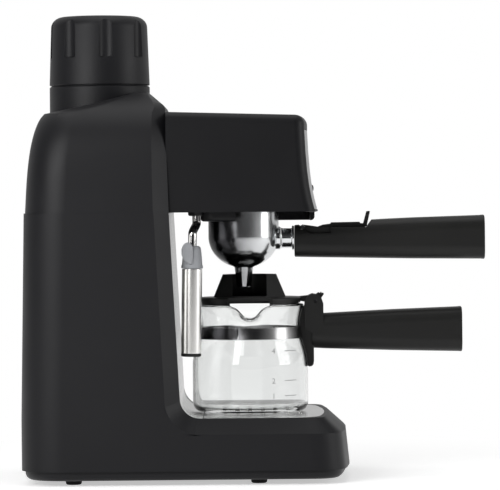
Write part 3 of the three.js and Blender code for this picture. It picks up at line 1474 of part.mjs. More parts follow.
/** Bakelite handle with a channel on top for the retainer and two ears that carry its pin. */
function portafilterHandle() {
  const [start, tip] = [HANDLE_START, HANDLE_TIP];
  const body = grip(
    [
      [start, -33.2, -10.2],
      [start + 52, -34.4, -6.8],
      [start + 90, -35.2, -5.2],
      [tip - 2.5, -36, -4],
      [tip, -34.5, -5.5],
    ],
    0.92,
  );
  const half = LEVER_WIDTH / 2 + FIT;
  const channel = slab(
    outline([
      [-LEVER_TIP - 6, 5],
      [-LEVER_TIP + 2, LEVER_FLOOR_Z],
      [-start - 2, LEVER_FLOOR_Z],
      [-start - 2, 5],
    ]),
    -half,
    half,
  );
  const shoulder = slab(
    outline([
      [-LEVER_TIP - 2, 5],
      [-LEVER_TIP + 2, LEVER_FLOOR_Z + 2],
      [-LEVER_PIVOT - 8, LEVER_FLOOR_Z + 2],
      [-LEVER_PIVOT - 3.5, 5],
    ]),
    -30,
    30,
  );
  const eye = retainerAxle(RETAINER_PIN + 0.2, 30);
  const eyeSeat = retainerAxle(4.2, half);
  return cut(body, channel, shoulder, eyeSeat, eye);
}
add(holder, 'portafilter_handle', 'handlePlastic', portafilterHandle());

add(
  holder,
  'retainer_pin',
  'brightSteel',
  retainerAxle(RETAINER_PIN, LEVER_WIDTH / 2 + EAR_WIDTH),
);

/** Filter retainer: a flat lever with an eye at the pin and a thumb tab at its free end. */
function filterRetainer() {
  const floor = LEVER_FLOOR_Z + FIT;
  const profile = outline([
    [-LEVER_PIVOT + 2, floor],
    [-LEVER_PIVOT + 2, LEVER_PIVOT_Z + 3],
    [-LEVER_PIVOT - 3, LEVER_PIVOT_Z + 3.4],
    [-LEVER_PIVOT - 10, -8.6],
    [-LEVER_TIP + 9, -7.2],
    [-LEVER_TIP + 4, -5.6],
    [-LEVER_TIP + 1.4, -1.2],
    [-LEVER_TIP - 1, -0.6],
    [-LEVER_TIP, -5],
    [-LEVER_TIP + 3.5, -9.4],
    [-LEVER_TIP + 8, -10.4],
    [-LEVER_TIP + 14, floor],
  ]);
  return cut(
    slab(profile, -LEVER_WIDTH / 2, LEVER_WIDTH / 2),
    retainerAxle(RETAINER_PIN + FIT, 30),
  );
}
add(holder, 'filter_retainer', 'handlePlastic', filterRetainer());

// ---------------------------------------------------------------- carafe

const carafe = frameAt(0, CARAFE_Y, DECK_Z + FIT);

/** Outer radius of the glass at a height above the deck. */
function glassRadius(z) {
  if (z <= CARAFE_BELLY_Z) return CARAFE_RADIUS;
  if (z <= CARAFE_WAIST_Z) {
    const t = (z - CARAFE_BELLY_Z) / (CARAFE_WAIST_Z - CARAFE_BELLY_Z);
    return CARAFE_RADIUS - (CARAFE_RADIUS - CARAFE_WAIST) * smooth(t);
  }
  const t = (z - CARAFE_WAIST_Z) / (CARAFE_RIM_Z - CARAFE_WAIST_Z);
  return CARAFE_WAIST + (CARAFE_RIM - CARAFE_WAIST) * t ** 1.5;
}

const GLASS_SEGMENTS = 20;
const BEAK_Z = CARAFE_RIM_Z - 8;

/** One ring of the glass, pulled out into the pouring lip on the user's left. */
function glassRing(radius, z) {
  const rise = clamp((z - BEAK_Z) / (CARAFE_RIM_Z - BEAK_Z), 0, 1.2);
  return Array.from({ length: GLASS_SEGMENTS }, (_, i) => {
    const angle = (2 * Math.PI * i) / GLASS_SEGMENTS;
    const off = Math.abs(angle - Math.PI);
    const spread = BEAK_ANGLE * rise;
    const pull = off < spread ? BEAK_REACH * rise * (1 - off / spread) : 0;
    return vec((radius + pull) * Math.cos(angle), (radius + pull) * Math.sin(angle), z);
  });
}

function carafeGlass() {
  const corner = 6;
  const outer = [0, 0.8].map((a) => [
    CARAFE_RADIUS - corner + corner * Math.sin(a),
    corner - corner * Math.cos(a),
  ]);
  const walls = [CARAFE_BELLY_Z, 42, 53, CARAFE_WAIST_Z, BEAK_Z, CARAFE_RIM_Z];
  const inside = [
    [CARAFE_RADIUS - corner, 2.4],
    [CARAFE_RADIUS - CARAFE_WALL - 1.4, 4.6],
    ...walls.map((z) => [glassRadius(z) - CARAFE_WALL, z]),
    [glassRadius(CARAFE_RIM_Z) - CARAFE_WALL, CARAFE_RIM_Z + 3],
  ];
  outer.push([CARAFE_RADIUS, corner], ...walls.map((z) => [glassRadius(z), z]));
  return cut(
    loft(outer.map(([r, z]) => glassRing(r, z)), inPlan),
    loft(inside.map(([r, z]) => glassRing(r, z)), inPlan),
  );
}
add(carafe, 'carafe_glass', 'glass', carafeGlass());

const bandLevels = [BAND_LOW_Z, BAND_HIGH_Z];
const bandProfile = [
  ...bandLevels.map((z) => [glassRadius(z) + FIT + BAND_SHEET, z]),
  ...bandLevels.reverse().map((z) => [glassRadius(z) + FIT, z]),
];
add(carafe, 'carafe_band', 'brightSteel', turned(bandProfile, GLASS_SEGMENTS));

/** A bar on the lid's hinge axis. */
const lidAxle = (radius, half) =>
  bar(radius, vec(-half, LID_PIN_Y, LID_PIN_Z), vec(half, LID_PIN_Y, LID_PIN_Z), 10);

/** Handle: a bracket that hugs the glass and the band, ears for the lid's pin, and a tapered grip. */
function carafeHandle() {
  const inner = [BRACKET_FOOT, 42, 50, 56, 60.5, 66, 72].map((z) => [
    -(glassRadius(z) + BAND_SHEET + 2 * FIT),
    z,
  ]);
  const bracket = slab(
    outline([
      ...inner,
      [-LID_RADIUS - 2.6, CARAFE_RIM_Z - 2],
      [-LID_RADIUS - 4, BRACKET_TOP - 2],
      [-LID_RADIUS - 7, BRACKET_TOP],
      [-GRIP_START + 3, BRACKET_TOP - 2.5],
      [-GRIP_START, BRACKET_TOP - 12],
      [-GRIP_START - 1, 44],
      [-GRIP_START + 3, BRACKET_FOOT + 2],
    ]),
    -BRACKET_HALF,
    BRACKET_HALF,
  );
  const handleGrip = grip(
    [
      [GRIP_START - 4, 45, 69.5],
      [GRIP_START + 1, 44.5, 70],
      [GRIP_START + 50, 42.8, 72.2],
      [GRIP_TIP - 2.5, 41.5, 74],
      [GRIP_TIP, 43, 72.5],
    ],
    0.84,
  );
  const earSlot = box([-EAR_GAP, EAR_GAP], [-GRIP_START - 5, 0], [LID_PIN_Z - 5, 200]);
  return cut(join(bracket, handleGrip), earSlot, lidAxle(LID_PIN_RADIUS + 0.2, 30));
}
add(carafe, 'carafe_handle', 'handlePlastic', carafeHandle());

add(carafe, 'lid_pin', 'brightSteel', lidAxle(LID_PIN_RADIUS, BRACKET_HALF - 0.5));

const LID_Z = CARAFE_RIM_Z + FIT; // underside of the lid's flange
const CHIMNEY_Z = SEAM_Z + TIP_Z - DECK_Z + CHIMNEY_COVER;

/** Lid: flange with a notch over the pouring lip, inner skirt, slotted chimney and hinge tongue. */
function carafeLid() {
  const skirt = CARAFE_RIM - CARAFE_WALL - 1.6;
  const plate = turned(
    [
      [0, LID_Z - 5],
      [skirt - 1, LID_Z - 5],
      [skirt, LID_Z],
      [LID_RADIUS - 1, LID_Z],
      [LID_RADIUS - 1, LID_TOP - LID_SHEET],
      [LID_RADIUS, LID_TOP - LID_SHEET],
      [LID_RADIUS, LID_TOP - 0.5],
      [LID_RADIUS - 0.7, LID_TOP],
      [0, LID_TOP],
    ],
    GLASS_SEGMENTS,
  );
  const underside = disc(skirt - 2.6, LID_Z - 10, LID_TOP - LID_SHEET);
  const facet = Math.PI / FACETS;
  const tower = turned(
    [
      [0, LID_TOP - 1],
      [CHIMNEY_FOOT / Math.cos(facet), LID_TOP - 1],
      [CHIMNEY_TOP / Math.cos(facet), CHIMNEY_Z],
      [0, CHIMNEY_Z],
    ],
    FACETS,
  ).rotate([0, 0, 180 / FACETS]);
  const well = turned([
    [0, LID_TOP],
    [CHIMNEY_FOOT - 2, LID_TOP],
    [CHIMNEY_TOP - 2, CHIMNEY_Z + 1],
    [0, CHIMNEY_Z + 1],
  ]);
  const slot = box([-FAR, 0], [-CHIMNEY_SLOT / 2, CHIMNEY_SLOT / 2], [LID_TOP + 1, FAR]);
  const notch = box([-FAR, -LID_RADIUS + 8], [-16, 16], [LID_Z - 1.2, LID_TOP + 1]);
  const tongue = slab(
    outline([
      [-LID_RADIUS + 6, LID_TOP - LID_SHEET],
      [LID_PIN_Y - 2.4, LID_PIN_Z - 2],
      [LID_PIN_Y - 3.4, LID_PIN_Z + 1],
      [LID_PIN_Y - 6.4, LID_PIN_Z + 5.6],
      [LID_PIN_Y - 4.4, LID_PIN_Z + 6.8],
      [LID_PIN_Y, LID_TOP + 1.6],
      [-LID_RADIUS + 4, LID_TOP],
    ]),
    -EAR_GAP + 2 * FIT,
    EAR_GAP - 2 * FIT,
  );
  const drain = disc(12, 0, FAR, 16);
  const lid = cut(join(cut(plate, underside), tower), well, slot, notch, drain);
  return cut(lid.add(tongue), lidAxle(LID_PIN_RADIUS + FIT, 30));
}
add(carafe, 'carafe_lid', 'handlePlastic', carafeLid());

export default machine;
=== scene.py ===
# %% [markdown]
# # A steam espresso maker
# The construction is already solved in the frame: every sub-part at its real size, on the body
# that carries it. This lesson gives it its surfaces. The visible shells are modelled again,
# finely, at the place that the frame gives them, and the hidden parts keep their frame mesh with
# a proper finish.

# %% Load the frame
import json
import math

import bmesh
import bpy
from mathutils import Euler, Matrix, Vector


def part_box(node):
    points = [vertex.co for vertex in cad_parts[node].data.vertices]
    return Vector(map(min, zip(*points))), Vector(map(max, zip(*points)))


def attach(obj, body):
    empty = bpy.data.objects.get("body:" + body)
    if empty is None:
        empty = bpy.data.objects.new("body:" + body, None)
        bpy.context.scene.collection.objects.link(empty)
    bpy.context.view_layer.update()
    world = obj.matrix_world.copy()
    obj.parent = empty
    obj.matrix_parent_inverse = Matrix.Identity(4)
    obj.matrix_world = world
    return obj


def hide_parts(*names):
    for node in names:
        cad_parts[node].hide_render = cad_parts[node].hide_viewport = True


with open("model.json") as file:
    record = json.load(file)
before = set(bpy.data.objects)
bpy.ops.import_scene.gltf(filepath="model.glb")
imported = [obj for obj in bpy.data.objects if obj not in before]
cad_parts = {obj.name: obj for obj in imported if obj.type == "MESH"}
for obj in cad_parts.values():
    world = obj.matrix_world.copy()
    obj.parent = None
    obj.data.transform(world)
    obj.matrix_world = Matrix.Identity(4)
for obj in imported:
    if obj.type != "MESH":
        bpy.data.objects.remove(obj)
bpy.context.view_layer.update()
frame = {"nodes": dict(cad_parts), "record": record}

# %% [markdown]
# Sizes are easier to read in millimetres on a kitchen machine, so the helpers take millimetres
# and turn them into metres in one place. Each helper is one thing that a modeller does by hand:
# add a primitive, select faces by where they are, extrude, bevel, cut.

# %% Units and selection helpers
MM = 0.001
FAR, ASIDE = 300, 200  # how far the cutting tools reach up and sideways
MERGE = 0.01 * MM


def place(node):
    """Lowest and highest corner of a frame node, in millimetres."""
    return [Vector(corner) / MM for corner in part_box(node)]


def midpoint(node):
    """The middle of a frame node, as x, y and z in millimetres."""
    return [(low + high) / 2 for low, high in zip(*place(node))]


def only(piece):
    """Leaves edit mode and makes one object the selected and active one."""
    if bpy.context.mode != "OBJECT":
        bpy.ops.object.mode_set(mode="OBJECT")
    bpy.ops.object.select_all(action="DESELECT")
    if piece:
        piece.select_set(True)
        bpy.context.view_layer.objects.active = piece


def middle(element):
    """Where a face, an edge or a corner lies, in millimetres."""
    if isinstance(element, bmesh.types.BMVert):
        return element.co / MM
    if isinstance(element, bmesh.types.BMEdge):
        return (element.verts[0].co + element.verts[1].co) / 2 / MM
    return element.calc_center_median() / MM


def pick(piece, kind, test=lambda element: True):
    """Enters edit mode and selects every FACE, EDGE or VERT that passes a test."""
    only(piece)
    bpy.ops.object.mode_set(mode="EDIT")
    bpy.ops.mesh.select_mode(type=kind)
    bpy.ops.mesh.select_all(action="DESELECT")
    mesh = bmesh.from_edit_mesh(piece.data)
    for element in {"FACE": mesh.faces, "EDGE": mesh.edges, "VERT": mesh.verts}[kind]:
        if test(element):
            element.select_set(True)
    mesh.select_flush_mode()
    bmesh.update_edit_mesh(piece.data)


def near(value, target, reach=0.3):
    return abs(value - target) < reach


def direction(edge):
    return (edge.verts[1].co - edge.verts[0].co).normalized()


def upright(edge):
    return abs(direction(edge).z) > 0.9


def upward(face):
    return face.normal.z > 0.9


def downward(face):
    return face.normal.z < -0.9


print("one millimetre is", MM, "metres")

# %% [markdown]
# A primitive gets its size and place when it is added, and both are applied at once, so that the
# object itself stays at the origin and its place is in its mesh. Moving the object instead would
# shift every pattern that is laid on it in object coordinates.

# %% Primitives
def settle(name):
    """Names the new primitive and applies its size and place."""
    piece = bpy.context.active_object
    piece.name = name
    bpy.ops.object.transform_apply(location=True, rotation=True, scale=True)
    return piece


def block(name, low, high):
    """A box given by two opposite corners."""
    low, high = Vector(low) * MM, Vector(high) * MM
    only(None)
    bpy.ops.mesh.primitive_cube_add(size=1, location=(low + high) / 2, scale=high - low)
    return settle(name)


def rod(name, radius, start, end, vertices=48):
    """A round bar from one point to another."""
    start, end = Vector(start) * MM, Vector(end) * MM
    along = end - start
    only(None)
    bpy.ops.mesh.primitive_cylinder_add(
        vertices=vertices, radius=radius * MM, depth=along.length, location=(start + end) / 2,
        rotation=along.to_track_quat("Z", "Y").to_euler(),
    )
    return settle(name)


def crossbar(name, radius, half, y, z, vertices=32):
    """A rod across the machine, as a tool for pin holes."""
    return rod(name, radius, (-half, y, z), (half, y, z), vertices)


def tidy(piece):
    """Merges doubles and turns every face outwards."""
    pick(piece, "VERT")
    bpy.ops.mesh.remove_doubles(threshold=MERGE)
    bpy.ops.mesh.normals_make_consistent(inside=False)
    only(piece)
    return piece


print("primitives: block, rod, crossbar")

# %% [markdown]
# A turned part, which would come off a lathe or a press, starts as a circle that is extruded up
# its profile and resized at each step. Each ring is then as exact as on the drawing, and the
# rings at both ends are drawn together on the axis where the part is solid.

# %% Turned parts
def close_on_axis(rise):
    """Draws the selected ring together into one point on the axis."""
    bpy.ops.mesh.extrude_region_move(TRANSFORM_OT_translate={"value": (0, 0, rise * MM)})
    bpy.ops.mesh.merge(type="CENTER")


def turned(name, profile, centre=(0, 0), vertices=64):
    """A turned part about a vertical axis, from [radius, height] steps in millimetres."""
    rings = [step for step in profile if step[0] > 0]
    x, y = centre[0] * MM, centre[1] * MM
    radius, height = rings[0]
    only(None)
    bpy.ops.mesh.primitive_circle_add(
        vertices=vertices, radius=radius * MM, location=(x, y, height * MM), fill_type="NOTHING"
    )
    piece = settle(name)
    bpy.ops.object.mode_set(mode="EDIT")
    bpy.ops.mesh.select_mode(type="EDGE")
    bpy.ops.mesh.select_all(action="SELECT")
    for wide, high in rings[1:]:
        rise = (0, 0, (high - height) * MM)
        bpy.ops.mesh.extrude_region_move(TRANSFORM_OT_translate={"value": rise})
        scale = (wide / radius, wide / radius, 1)
        bpy.ops.transform.resize(value=scale, center_override=(x, y, high * MM))
        radius, height = wide, high
    if profile[-1][0] == 0:
        close_on_axis(profile[-1][1] - height)
    bpy.ops.mesh.select_all(action="SELECT")
    bpy.ops.mesh.remove_doubles(threshold=MERGE)
    if profile[0][0] == 0:
        bpy.ops.mesh.select_all(action="DESELECT")
        bpy.ops.mesh.select_non_manifold(extend=False, use_wire=False, use_verts=False)
        close_on_axis(profile[0][1] - rings[0][1])
    return tidy(piece)


def tube(name, inner, outer, start, end, centre=(0, 0), vertices=96):
    """A turned ring or tube between two heights."""
    corners = [(inner, start), (outer, start), (outer, end), (inner, end), (inner, start)]
    return turned(name, corners, centre, vertices)


print("turned parts: turned, tube")

# %% [markdown]
# A lever or a rib has the same section all the way across. Its outline is drawn once in side view
# and extruded. What repeats is modelled once and copied, and each copy has a mesh of its own.

# %% Flat outlines, places and copies
def side_profile(name, outline, half):
    """A flat piece drawn in side view as (y, z) corners, then extruded across."""
    only(None)
    bpy.ops.mesh.primitive_circle_add(vertices=len(outline), radius=1, fill_type="NGON")
    piece = settle(name)
    bpy.ops.object.mode_set(mode="EDIT")
    mesh = bmesh.from_edit_mesh(piece.data)
    for corner, (y, z) in zip(mesh.verts, outline):
        corner.co = Vector((-half, y, z)) * MM
    bmesh.update_edit_mesh(piece.data)
    bpy.ops.mesh.select_all(action="SELECT")
    extrude((2 * half, 0, 0))
    return tidy(piece)


def put(piece, at, turn=(0, 0, 0)):
    """Turns and moves a finished shape, and applies both."""
    only(piece)
    piece.rotation_euler = Euler([math.radians(angle) for angle in turn])
    piece.location = Vector(at) * MM
    bpy.ops.object.transform_apply(location=True, rotation=True, scale=True)
    return piece


def twin(piece):
    """A copy with a mesh of its own."""
    copy = piece.copy()
    copy.data = piece.data.copy()
    bpy.context.scene.collection.objects.link(copy)
    return copy


def join(pieces):
    only(pieces[0])
    for piece in pieces:
        piece.select_set(True)
    bpy.ops.object.join()
    return bpy.context.active_object


print("outlines, places and copies: side_profile, put, twin, join")

# %% [markdown]
# Shaping is done in edit mode: faces or edges are selected by where they are, and then extruded,
# divided, bevelled or moved. These are the four moves that a modeller makes all day.

# %% Extrude, divide, bevel and move
def extrude(rise, scale=(1, 1, 1), about=(0, 0, 0)):
    """Extrudes what is selected, then moves it and resizes it about a point."""
    bpy.ops.mesh.extrude_region_move(TRANSFORM_OT_translate={"value": Vector(rise) * MM})
    bpy.ops.transform.resize(value=scale, center_override=Vector(about) * MM)


def divide(piece, at, normal, test=lambda face: True):
    """Cuts new edges into the faces that pass a test, where a plane crosses them."""
    pick(piece, "FACE", test)
    bpy.ops.mesh.bisect(plane_co=[value * MM for value in at], plane_no=normal)


def bevel_edges(piece, test, offset, segments=1, profile=0.5):
    """Bevels the edges that pass a test, in edit mode."""
    pick(piece, "EDGE", test)
    bpy.ops.mesh.bevel(
        offset=offset * MM, segments=segments, profile=profile, clamp_overlap=False
    )
    only(piece)


def move(piece, kind, test, by):
    pick(piece, kind, test)
    bpy.ops.transform.translate(value=Vector(by) * MM)
    only(piece)


print("edit mode: extrude, divide, bevel_edges, move")

# %% [markdown]
# Edges catch the light on every real product, so each piece gets a last fine rounding from a
# Bevel modifier. Walls come from Solidify, and openings are cut with Boolean and a tool body,
# which stays exact where a hand-made hole would leave long thin faces. Each modifier is applied
# at once.

# %% Walls, openings and soft edges
def modify(piece, kind, **settings):
    """Adds a modifier, sets it and applies it."""
    only(piece)
    modifier = piece.modifiers.new(kind.title(), kind)
    for key, value in settings.items():
        setattr(modifier, key, value)
    bpy.ops.object.modifier_apply(modifier=modifier.name)
    return piece


def thicken(piece, wall):
    """Gives a skin its wall, inwards."""
    return modify(piece, "SOLIDIFY", thickness=wall * MM, offset=-1, use_even_offset=True)


def hollow(piece, open_ends, wall):
    """Makes a closed block a shell: its open ends are taken off, and the skin gets its wall."""
    pick(piece, "FACE", open_ends)
    bpy.ops.mesh.delete(type="FACE")
    return thicken(tidy(piece), wall)


def carve(piece, *tools, operation="DIFFERENCE"):
    """Cuts a piece with tool bodies, joins them to it, or keeps what it shares with them."""
    for tool in tools:
        modify(piece, "BOOLEAN", object=tool, operation=operation, solver="EXACT")
        bpy.data.objects.remove(tool)
    return piece


def weld(piece, *tools):
    return carve(piece, *tools, operation="UNION")


def soften(piece, width, segments=2, angle=30):
    """Rounds every edge that is sharper than an angle."""
    return modify(
        piece, "BEVEL", width=width * MM, segments=segments, limit_method="ANGLE",
        angle_limit=math.radians(angle), use_clamp_overlap=True,
    )


print("modifiers: thicken, hollow, carve, weld, soften")

# %% [markdown]
# A finished piece is smooth except at its sharp edges, has the material of its slot, and rides on
# the body that carries it, so that it moves when that body does. A piece that is a finer surface
# of frame parts takes their place.


def finish(piece, body, slot, *nodes, smooth=32):
    """Smooth shading, the slot's finish, and the body that carries the piece."""
    only(piece)
    bpy.ops.object.shade_smooth_by_angle(angle=math.radians(smooth))
    modify(piece, "WEIGHTED_NORMAL", keep_sharp=True)
    piece.data.materials.clear()
    piece.data.materials.append(finishes[slot])
    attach(piece, body)
    if nodes:
        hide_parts(*nodes)
    print(f"{piece.name}: {len(piece.data.polygons)} faces, rides on {body}")


# %% [markdown]
# Shader maths reads best as arithmetic. `Wire` holds one socket: adding or multiplying two wires
# adds the Math node for it, and `node` adds any other node from its settings and its inputs.

# %% A wire for shader maths
class Wire:
    """A socket of a shader tree, with plain arithmetic."""

    def __init__(self, tree, socket=None):
        self.tree = tree
        self.socket = socket

    def node(self, kind, settings=None, inputs=None, output=0):
        """Adds a node: settings first, then the values or wires of its sockets."""
        new = self.tree.nodes.new("ShaderNode" + kind)
        for key, value in (settings or {}).items():
            if key == "stops":
                for stop, (position, colour) in zip(new.color_ramp.elements, value):
                    stop.position, stop.color = position, colour
            else:
                setattr(new, key, value)
        for key, value in (inputs or {}).items():
            self.feed(new.inputs[key], value)
        return Wire(self.tree, new.outputs[output])

    def feed(self, socket, value):
        """Links a wire to a socket, or sets the socket's own value."""
        if isinstance(value, Wire):
            self.tree.links.new(value.socket, socket)
        else:
            socket.default_value = value

    def maths(self, operation, first, second):
        return self.node("Math", {"operation": operation}, {0: first, 1: second})

    def __add__(self, other):
        return self.maths("ADD", self, other)

    def __mul__(self, other):
        return self.maths("MULTIPLY", self, other)

    def __sub__(self, other):
        return self.maths("SUBTRACT", self, other)

    def __rsub__(self, other):
        return self.maths("SUBTRACT", other, self)

    __radd__ = __add__
    __rmul__ = __mul__


print("a wire adds, subtracts and multiplies")

# %% [markdown]
# Every finish starts from the same few ingredients, all in object coordinates so that they have a
# real scale: `grain` is noise of a given size in millimetres, and `streaks` is noise drawn out
# along one axis, as a brush or a rolling mill leaves it.

# %% Ingredients of a finish
finishes = {}


def new_finish(name):
    """Adds an empty finish, and gives a wire of its shader tree."""
    finishes[name] = bpy.data.materials.new(name)
    finishes[name].use_nodes = True
    return Wire(finishes[name].node_tree)


def principled(wire):
    return wire.tree.nodes["Principled BSDF"]


def plug(wire, **values):
    """Sets or links the shader's sockets, by name with _ for a space."""
    for key, value in values.items():
        wire.feed(principled(wire).inputs[key.replace("_", " ")], value)


def here(wire):
    """Object coordinates, in metres."""
    return wire.node("TexCoord", output=3)


def grain(wire, size, detail=2.0):
    """Noise from 0 to 1 whose blotches are about this many millimetres across."""
    inputs = {"Vector": here(wire), "Scale": 1 / (size * MM), "Detail": detail}
    return wire.node("TexNoise", inputs=inputs)


def streaks(wire, size, stretch):
    """Noise drawn out: size in millimetres and a stretch for each axis."""
    scale = tuple(1 / factor for factor in stretch)
    drawn = wire.node("Mapping", inputs={"Vector": here(wire), "Scale": scale})
    inputs = {"Vector": drawn, "Scale": 1 / (size * MM), "Detail": 3.0}
    return wire.node("TexNoise", inputs=inputs)


def mix(wire, factor, first, second):
    """A colour between two colours."""
    inputs = {0: factor, 6: (*first, 1), 7: (*second, 1)}
    return wire.node("Mix", {"data_type": "RGBA"}, inputs, output=2)


def relief(wire, height, depth):
    """A bump of a real depth in millimetres."""
    inputs = {"Height": height, "Distance": depth * MM, "Strength": 1.0}
    return wire.node("Bump", inputs=inputs)


print("ingredients: grain, streaks, mix, relief")

# %% [markdown]
# Moulded ABS and bakelite are never one flat black. The tool leaves a fine spark-eroded grain
# that breaks up the reflection, the gloss wanders a little over the part, and handling leaves
# faint smears. The same recipe with other numbers gives the housing, the head, the handles and
# the knob.

# %% Moulded plastic
def moulded(name, dark, light, gloss, texture, depth, specular):
    """Plastic from a mould: its middle roughness, then the size and the depth of its grain."""
    wire = new_finish(name)
    plug(
        wire,
        Base_Color=mix(wire, grain(wire, 90, 2.0), dark, light),
        Roughness=gloss - 0.07 + 0.14 * grain(wire, 38, 3.0),
        Normal=relief(wire, grain(wire, texture, 3.0), depth),
        Specular_IOR_Level=specular,
    )


moulded(
    "black_housing", (0.006, 0.006, 0.0072), (0.0095, 0.0095, 0.0112), 0.46, 0.7, 0.01, 0.25
)
moulded("black_head", (0.004, 0.004, 0.005), (0.007, 0.007, 0.008), 0.45, 0.7, 0.01, 0.22)
moulded("black_handle", (0.009, 0.009, 0.009), (0.014, 0.014, 0.013), 0.42, 0.9, 0.006, 0.25)
moulded("white_plastic", (0.62, 0.60, 0.55), (0.70, 0.69, 0.65), 0.5, 0.8, 0.006, 0.5)
print("moulded finishes:", list(finishes))

# %% [markdown]
# Metals differ in how they were made. Rolled sheet carries fine lines along one direction, a
# casting that was tumbled keeps a shallow orange peel, plating is nearly a mirror with a trace of
# haze, and the front panel is lacquered, so its streaks lie under a clear coat.

# %% Metals
def brushed(size, stretch, depth):
    """A relief of streaks, to be laid on a wire."""
    return lambda wire: relief(wire, streaks(wire, size, stretch), depth)


def pebbled(size, detail, depth):
    """A relief of even grain, to be laid on a wire."""
    return lambda wire: relief(wire, grain(wire, size, detail), depth)


def metal(name, dark, light, gloss, spread, surface, coat=0.0):
    """A metal with blotches of haze, over which its roughness spreads about the gloss."""
    wire = new_finish(name)
    haze = grain(wire, 25, 3.0)
    plug(
        wire,
        Base_Color=mix(wire, haze, dark, light),
        Roughness=gloss - spread / 2 + spread * haze,
        Metallic=1.0,
        Normal=surface(wire),
        Coat_Weight=coat,
    )


metal(
    "bright_steel", (0.50, 0.50, 0.50), (0.60, 0.60, 0.59), 0.2, 0.08,
    brushed(0.5, (40, 1, 1), 0.006),
)
metal("chrome", (0.70, 0.69, 0.68), (0.80, 0.79, 0.78), 0.07, 0.05, pebbled(6, 2.0, 0.01))
metal(
    "satin_chrome", (0.80, 0.79, 0.77), (0.88, 0.87, 0.85), 0.24, 0.06,
    brushed(0.5, (1, 1, 30), 0.004),
)
metal(
    "brass", (0.55, 0.38, 0.14), (0.68, 0.50, 0.22), 0.25, 0.1,
    brushed(0.4, (1, 1, 30), 0.006),
)
metal(
    "silver_panel", (0.28, 0.285, 0.29), (0.34, 0.345, 0.35), 0.3, 0.06,
    brushed(0.4, (60, 1, 1), 0.008), coat=0.12,
)
metal("blued_pin", (0.03, 0.03, 0.032), (0.05, 0.05, 0.052), 0.5, 0.08, pebbled(0.8, 2.0, 0.004))
print("metals are ready:", len(finishes), "finishes so far")

# %% [markdown]
# Two metals carry painted shade. The casting and the band of the carafe are painted dark on the
# side towards the tower, which stands in for the black tower that they mirror, and keep their own
# colour towards the user, so their colour runs from one to the other along the machine.

# %% Metals with painted shade
# The dark colour here is painted shade, standing in for the black tower that the metal mirrors.
PAINTED_SHADE = (0.06, 0.06, 0.065)


def shade_faded_metal(name, unshaded_colour, start, end, gloss, surface):
    """A metal with painted shade that fades from one place to another, in millimetres along Y."""
    wire = new_finish(name)
    along = wire.node("SeparateXYZ", inputs={0: here(wire)}, output=1)
    ragged = along + 0.006 * (grain(wire, 9, 3.0) - 0.5)
    inputs = {"Value": ragged, 1: start * MM, 2: end * MM}
    # This fade lays the painted shade on the side towards the tower.
    fade = wire.node("MapRange", {"interpolation_type": "SMOOTHSTEP"}, inputs)
    plug(
        wire,
        Base_Color=mix(wire, fade, PAINTED_SHADE, unshaded_colour),
        Roughness=gloss + 0.06 * grain(wire, 14, 3.0),
        Metallic=1.0,
        Normal=surface(wire),
    )


# Both get painted shade towards the tower; the band is also painted darker than bright steel
# throughout, as painted shade.
shade_faded_metal("cast_aluminium", (0.66, 0.67, 0.68), 20, -8, 0.14, pebbled(1.4, 3.0, 0.012))
shade_faded_metal("steel_with_painted_shade", (0.40, 0.40, 0.40), 24, -22, 0.2, brushed(0.5, (40, 40, 1), 0.004))
print(len(finishes), "finishes so far")

# %% [markdown]
# Silicone and rubber are dull and slightly dusty. Glass is clear, with a faint green tint where
# it is thick, and the lens is glass dyed red. Printed marks are a thin, slightly uneven film of
# paint.

# %% Rubber, silicone, glass and paint
def elastic(name, dark, light, gloss):
    """A dull elastomer with a fine bloom."""
    wire = new_finish(name)
    bloom = grain(wire, 4, 4.0)
    plug(
        wire,
        Base_Color=mix(wire, bloom, dark, light),
        Roughness=gloss - 0.05 + 0.1 * bloom,
        Normal=relief(wire, grain(wire, 0.6, 3.0), 0.02),
        Specular_IOR_Level=0.35,
    )


elastic("grey_silicone", (0.33, 0.34, 0.36), (0.41, 0.42, 0.44), 0.62)
elastic("black_rubber", (0.012, 0.012, 0.012), (0.022, 0.022, 0.022), 0.75)
elastic("red_silicone", (0.30, 0.05, 0.03), (0.38, 0.08, 0.05), 0.6)


def clear(name, thin, thick, gloss):
    """Glass or a clear moulding."""
    wire = new_finish(name)
    film = grain(wire, 30, 3.0)
    plug(
        wire,
        Base_Color=mix(wire, film, thin, thick),
        Roughness=gloss + 0.02 * film,
        Transmission_Weight=1.0,
        IOR=1.47,
    )


clear("clear_glass", (0.87, 0.88, 0.876), (0.90, 0.905, 0.902), 0.0)
clear("red_lens", (0.75, 0.06, 0.03), (0.85, 0.10, 0.05), 0.08)


def paint(name, size, thin, full, gloss):
    """A printed film that covers unevenly."""
    wire = new_finish(name)
    plug(wire, Base_Color=mix(wire, grain(wire, size, 2.0), thin, full), Roughness=gloss)


paint("white_print", 2, (0.34, 0.35, 0.35), (0.42, 0.43, 0.43), 0.55)
paint("pointer_paint", 1.5, (0.66, 0.66, 0.64), (0.76, 0.76, 0.74), 0.5)
print(len(finishes), "finishes")

# %% [markdown]
# The parts that nobody sees, or sees only past an edge, keep their frame mesh. They still get the
# finish of their slot, because the machine may be taken apart.

# %% Finishes for the frame's own parts
for entry in frame["record"]["subparts"]:
    node = frame["nodes"][entry["node"]]
    if not node.material_slots:
        node.data.materials.append(None)
    for slot in node.material_slots:
        slot.material = finishes[entry["material_slot"]]
for name in ("retainer_pin", "lid_pin"):
    frame["nodes"][name].material_slots[0].material = finishes["blued_pin"]
print(len(frame["nodes"]), "frame parts have their finish")

# %% [markdown]
# The housing's sizes come from the frame. A few that no box can tell, such as the width of the
# bevel along the inner edge of the C, are stated here once.

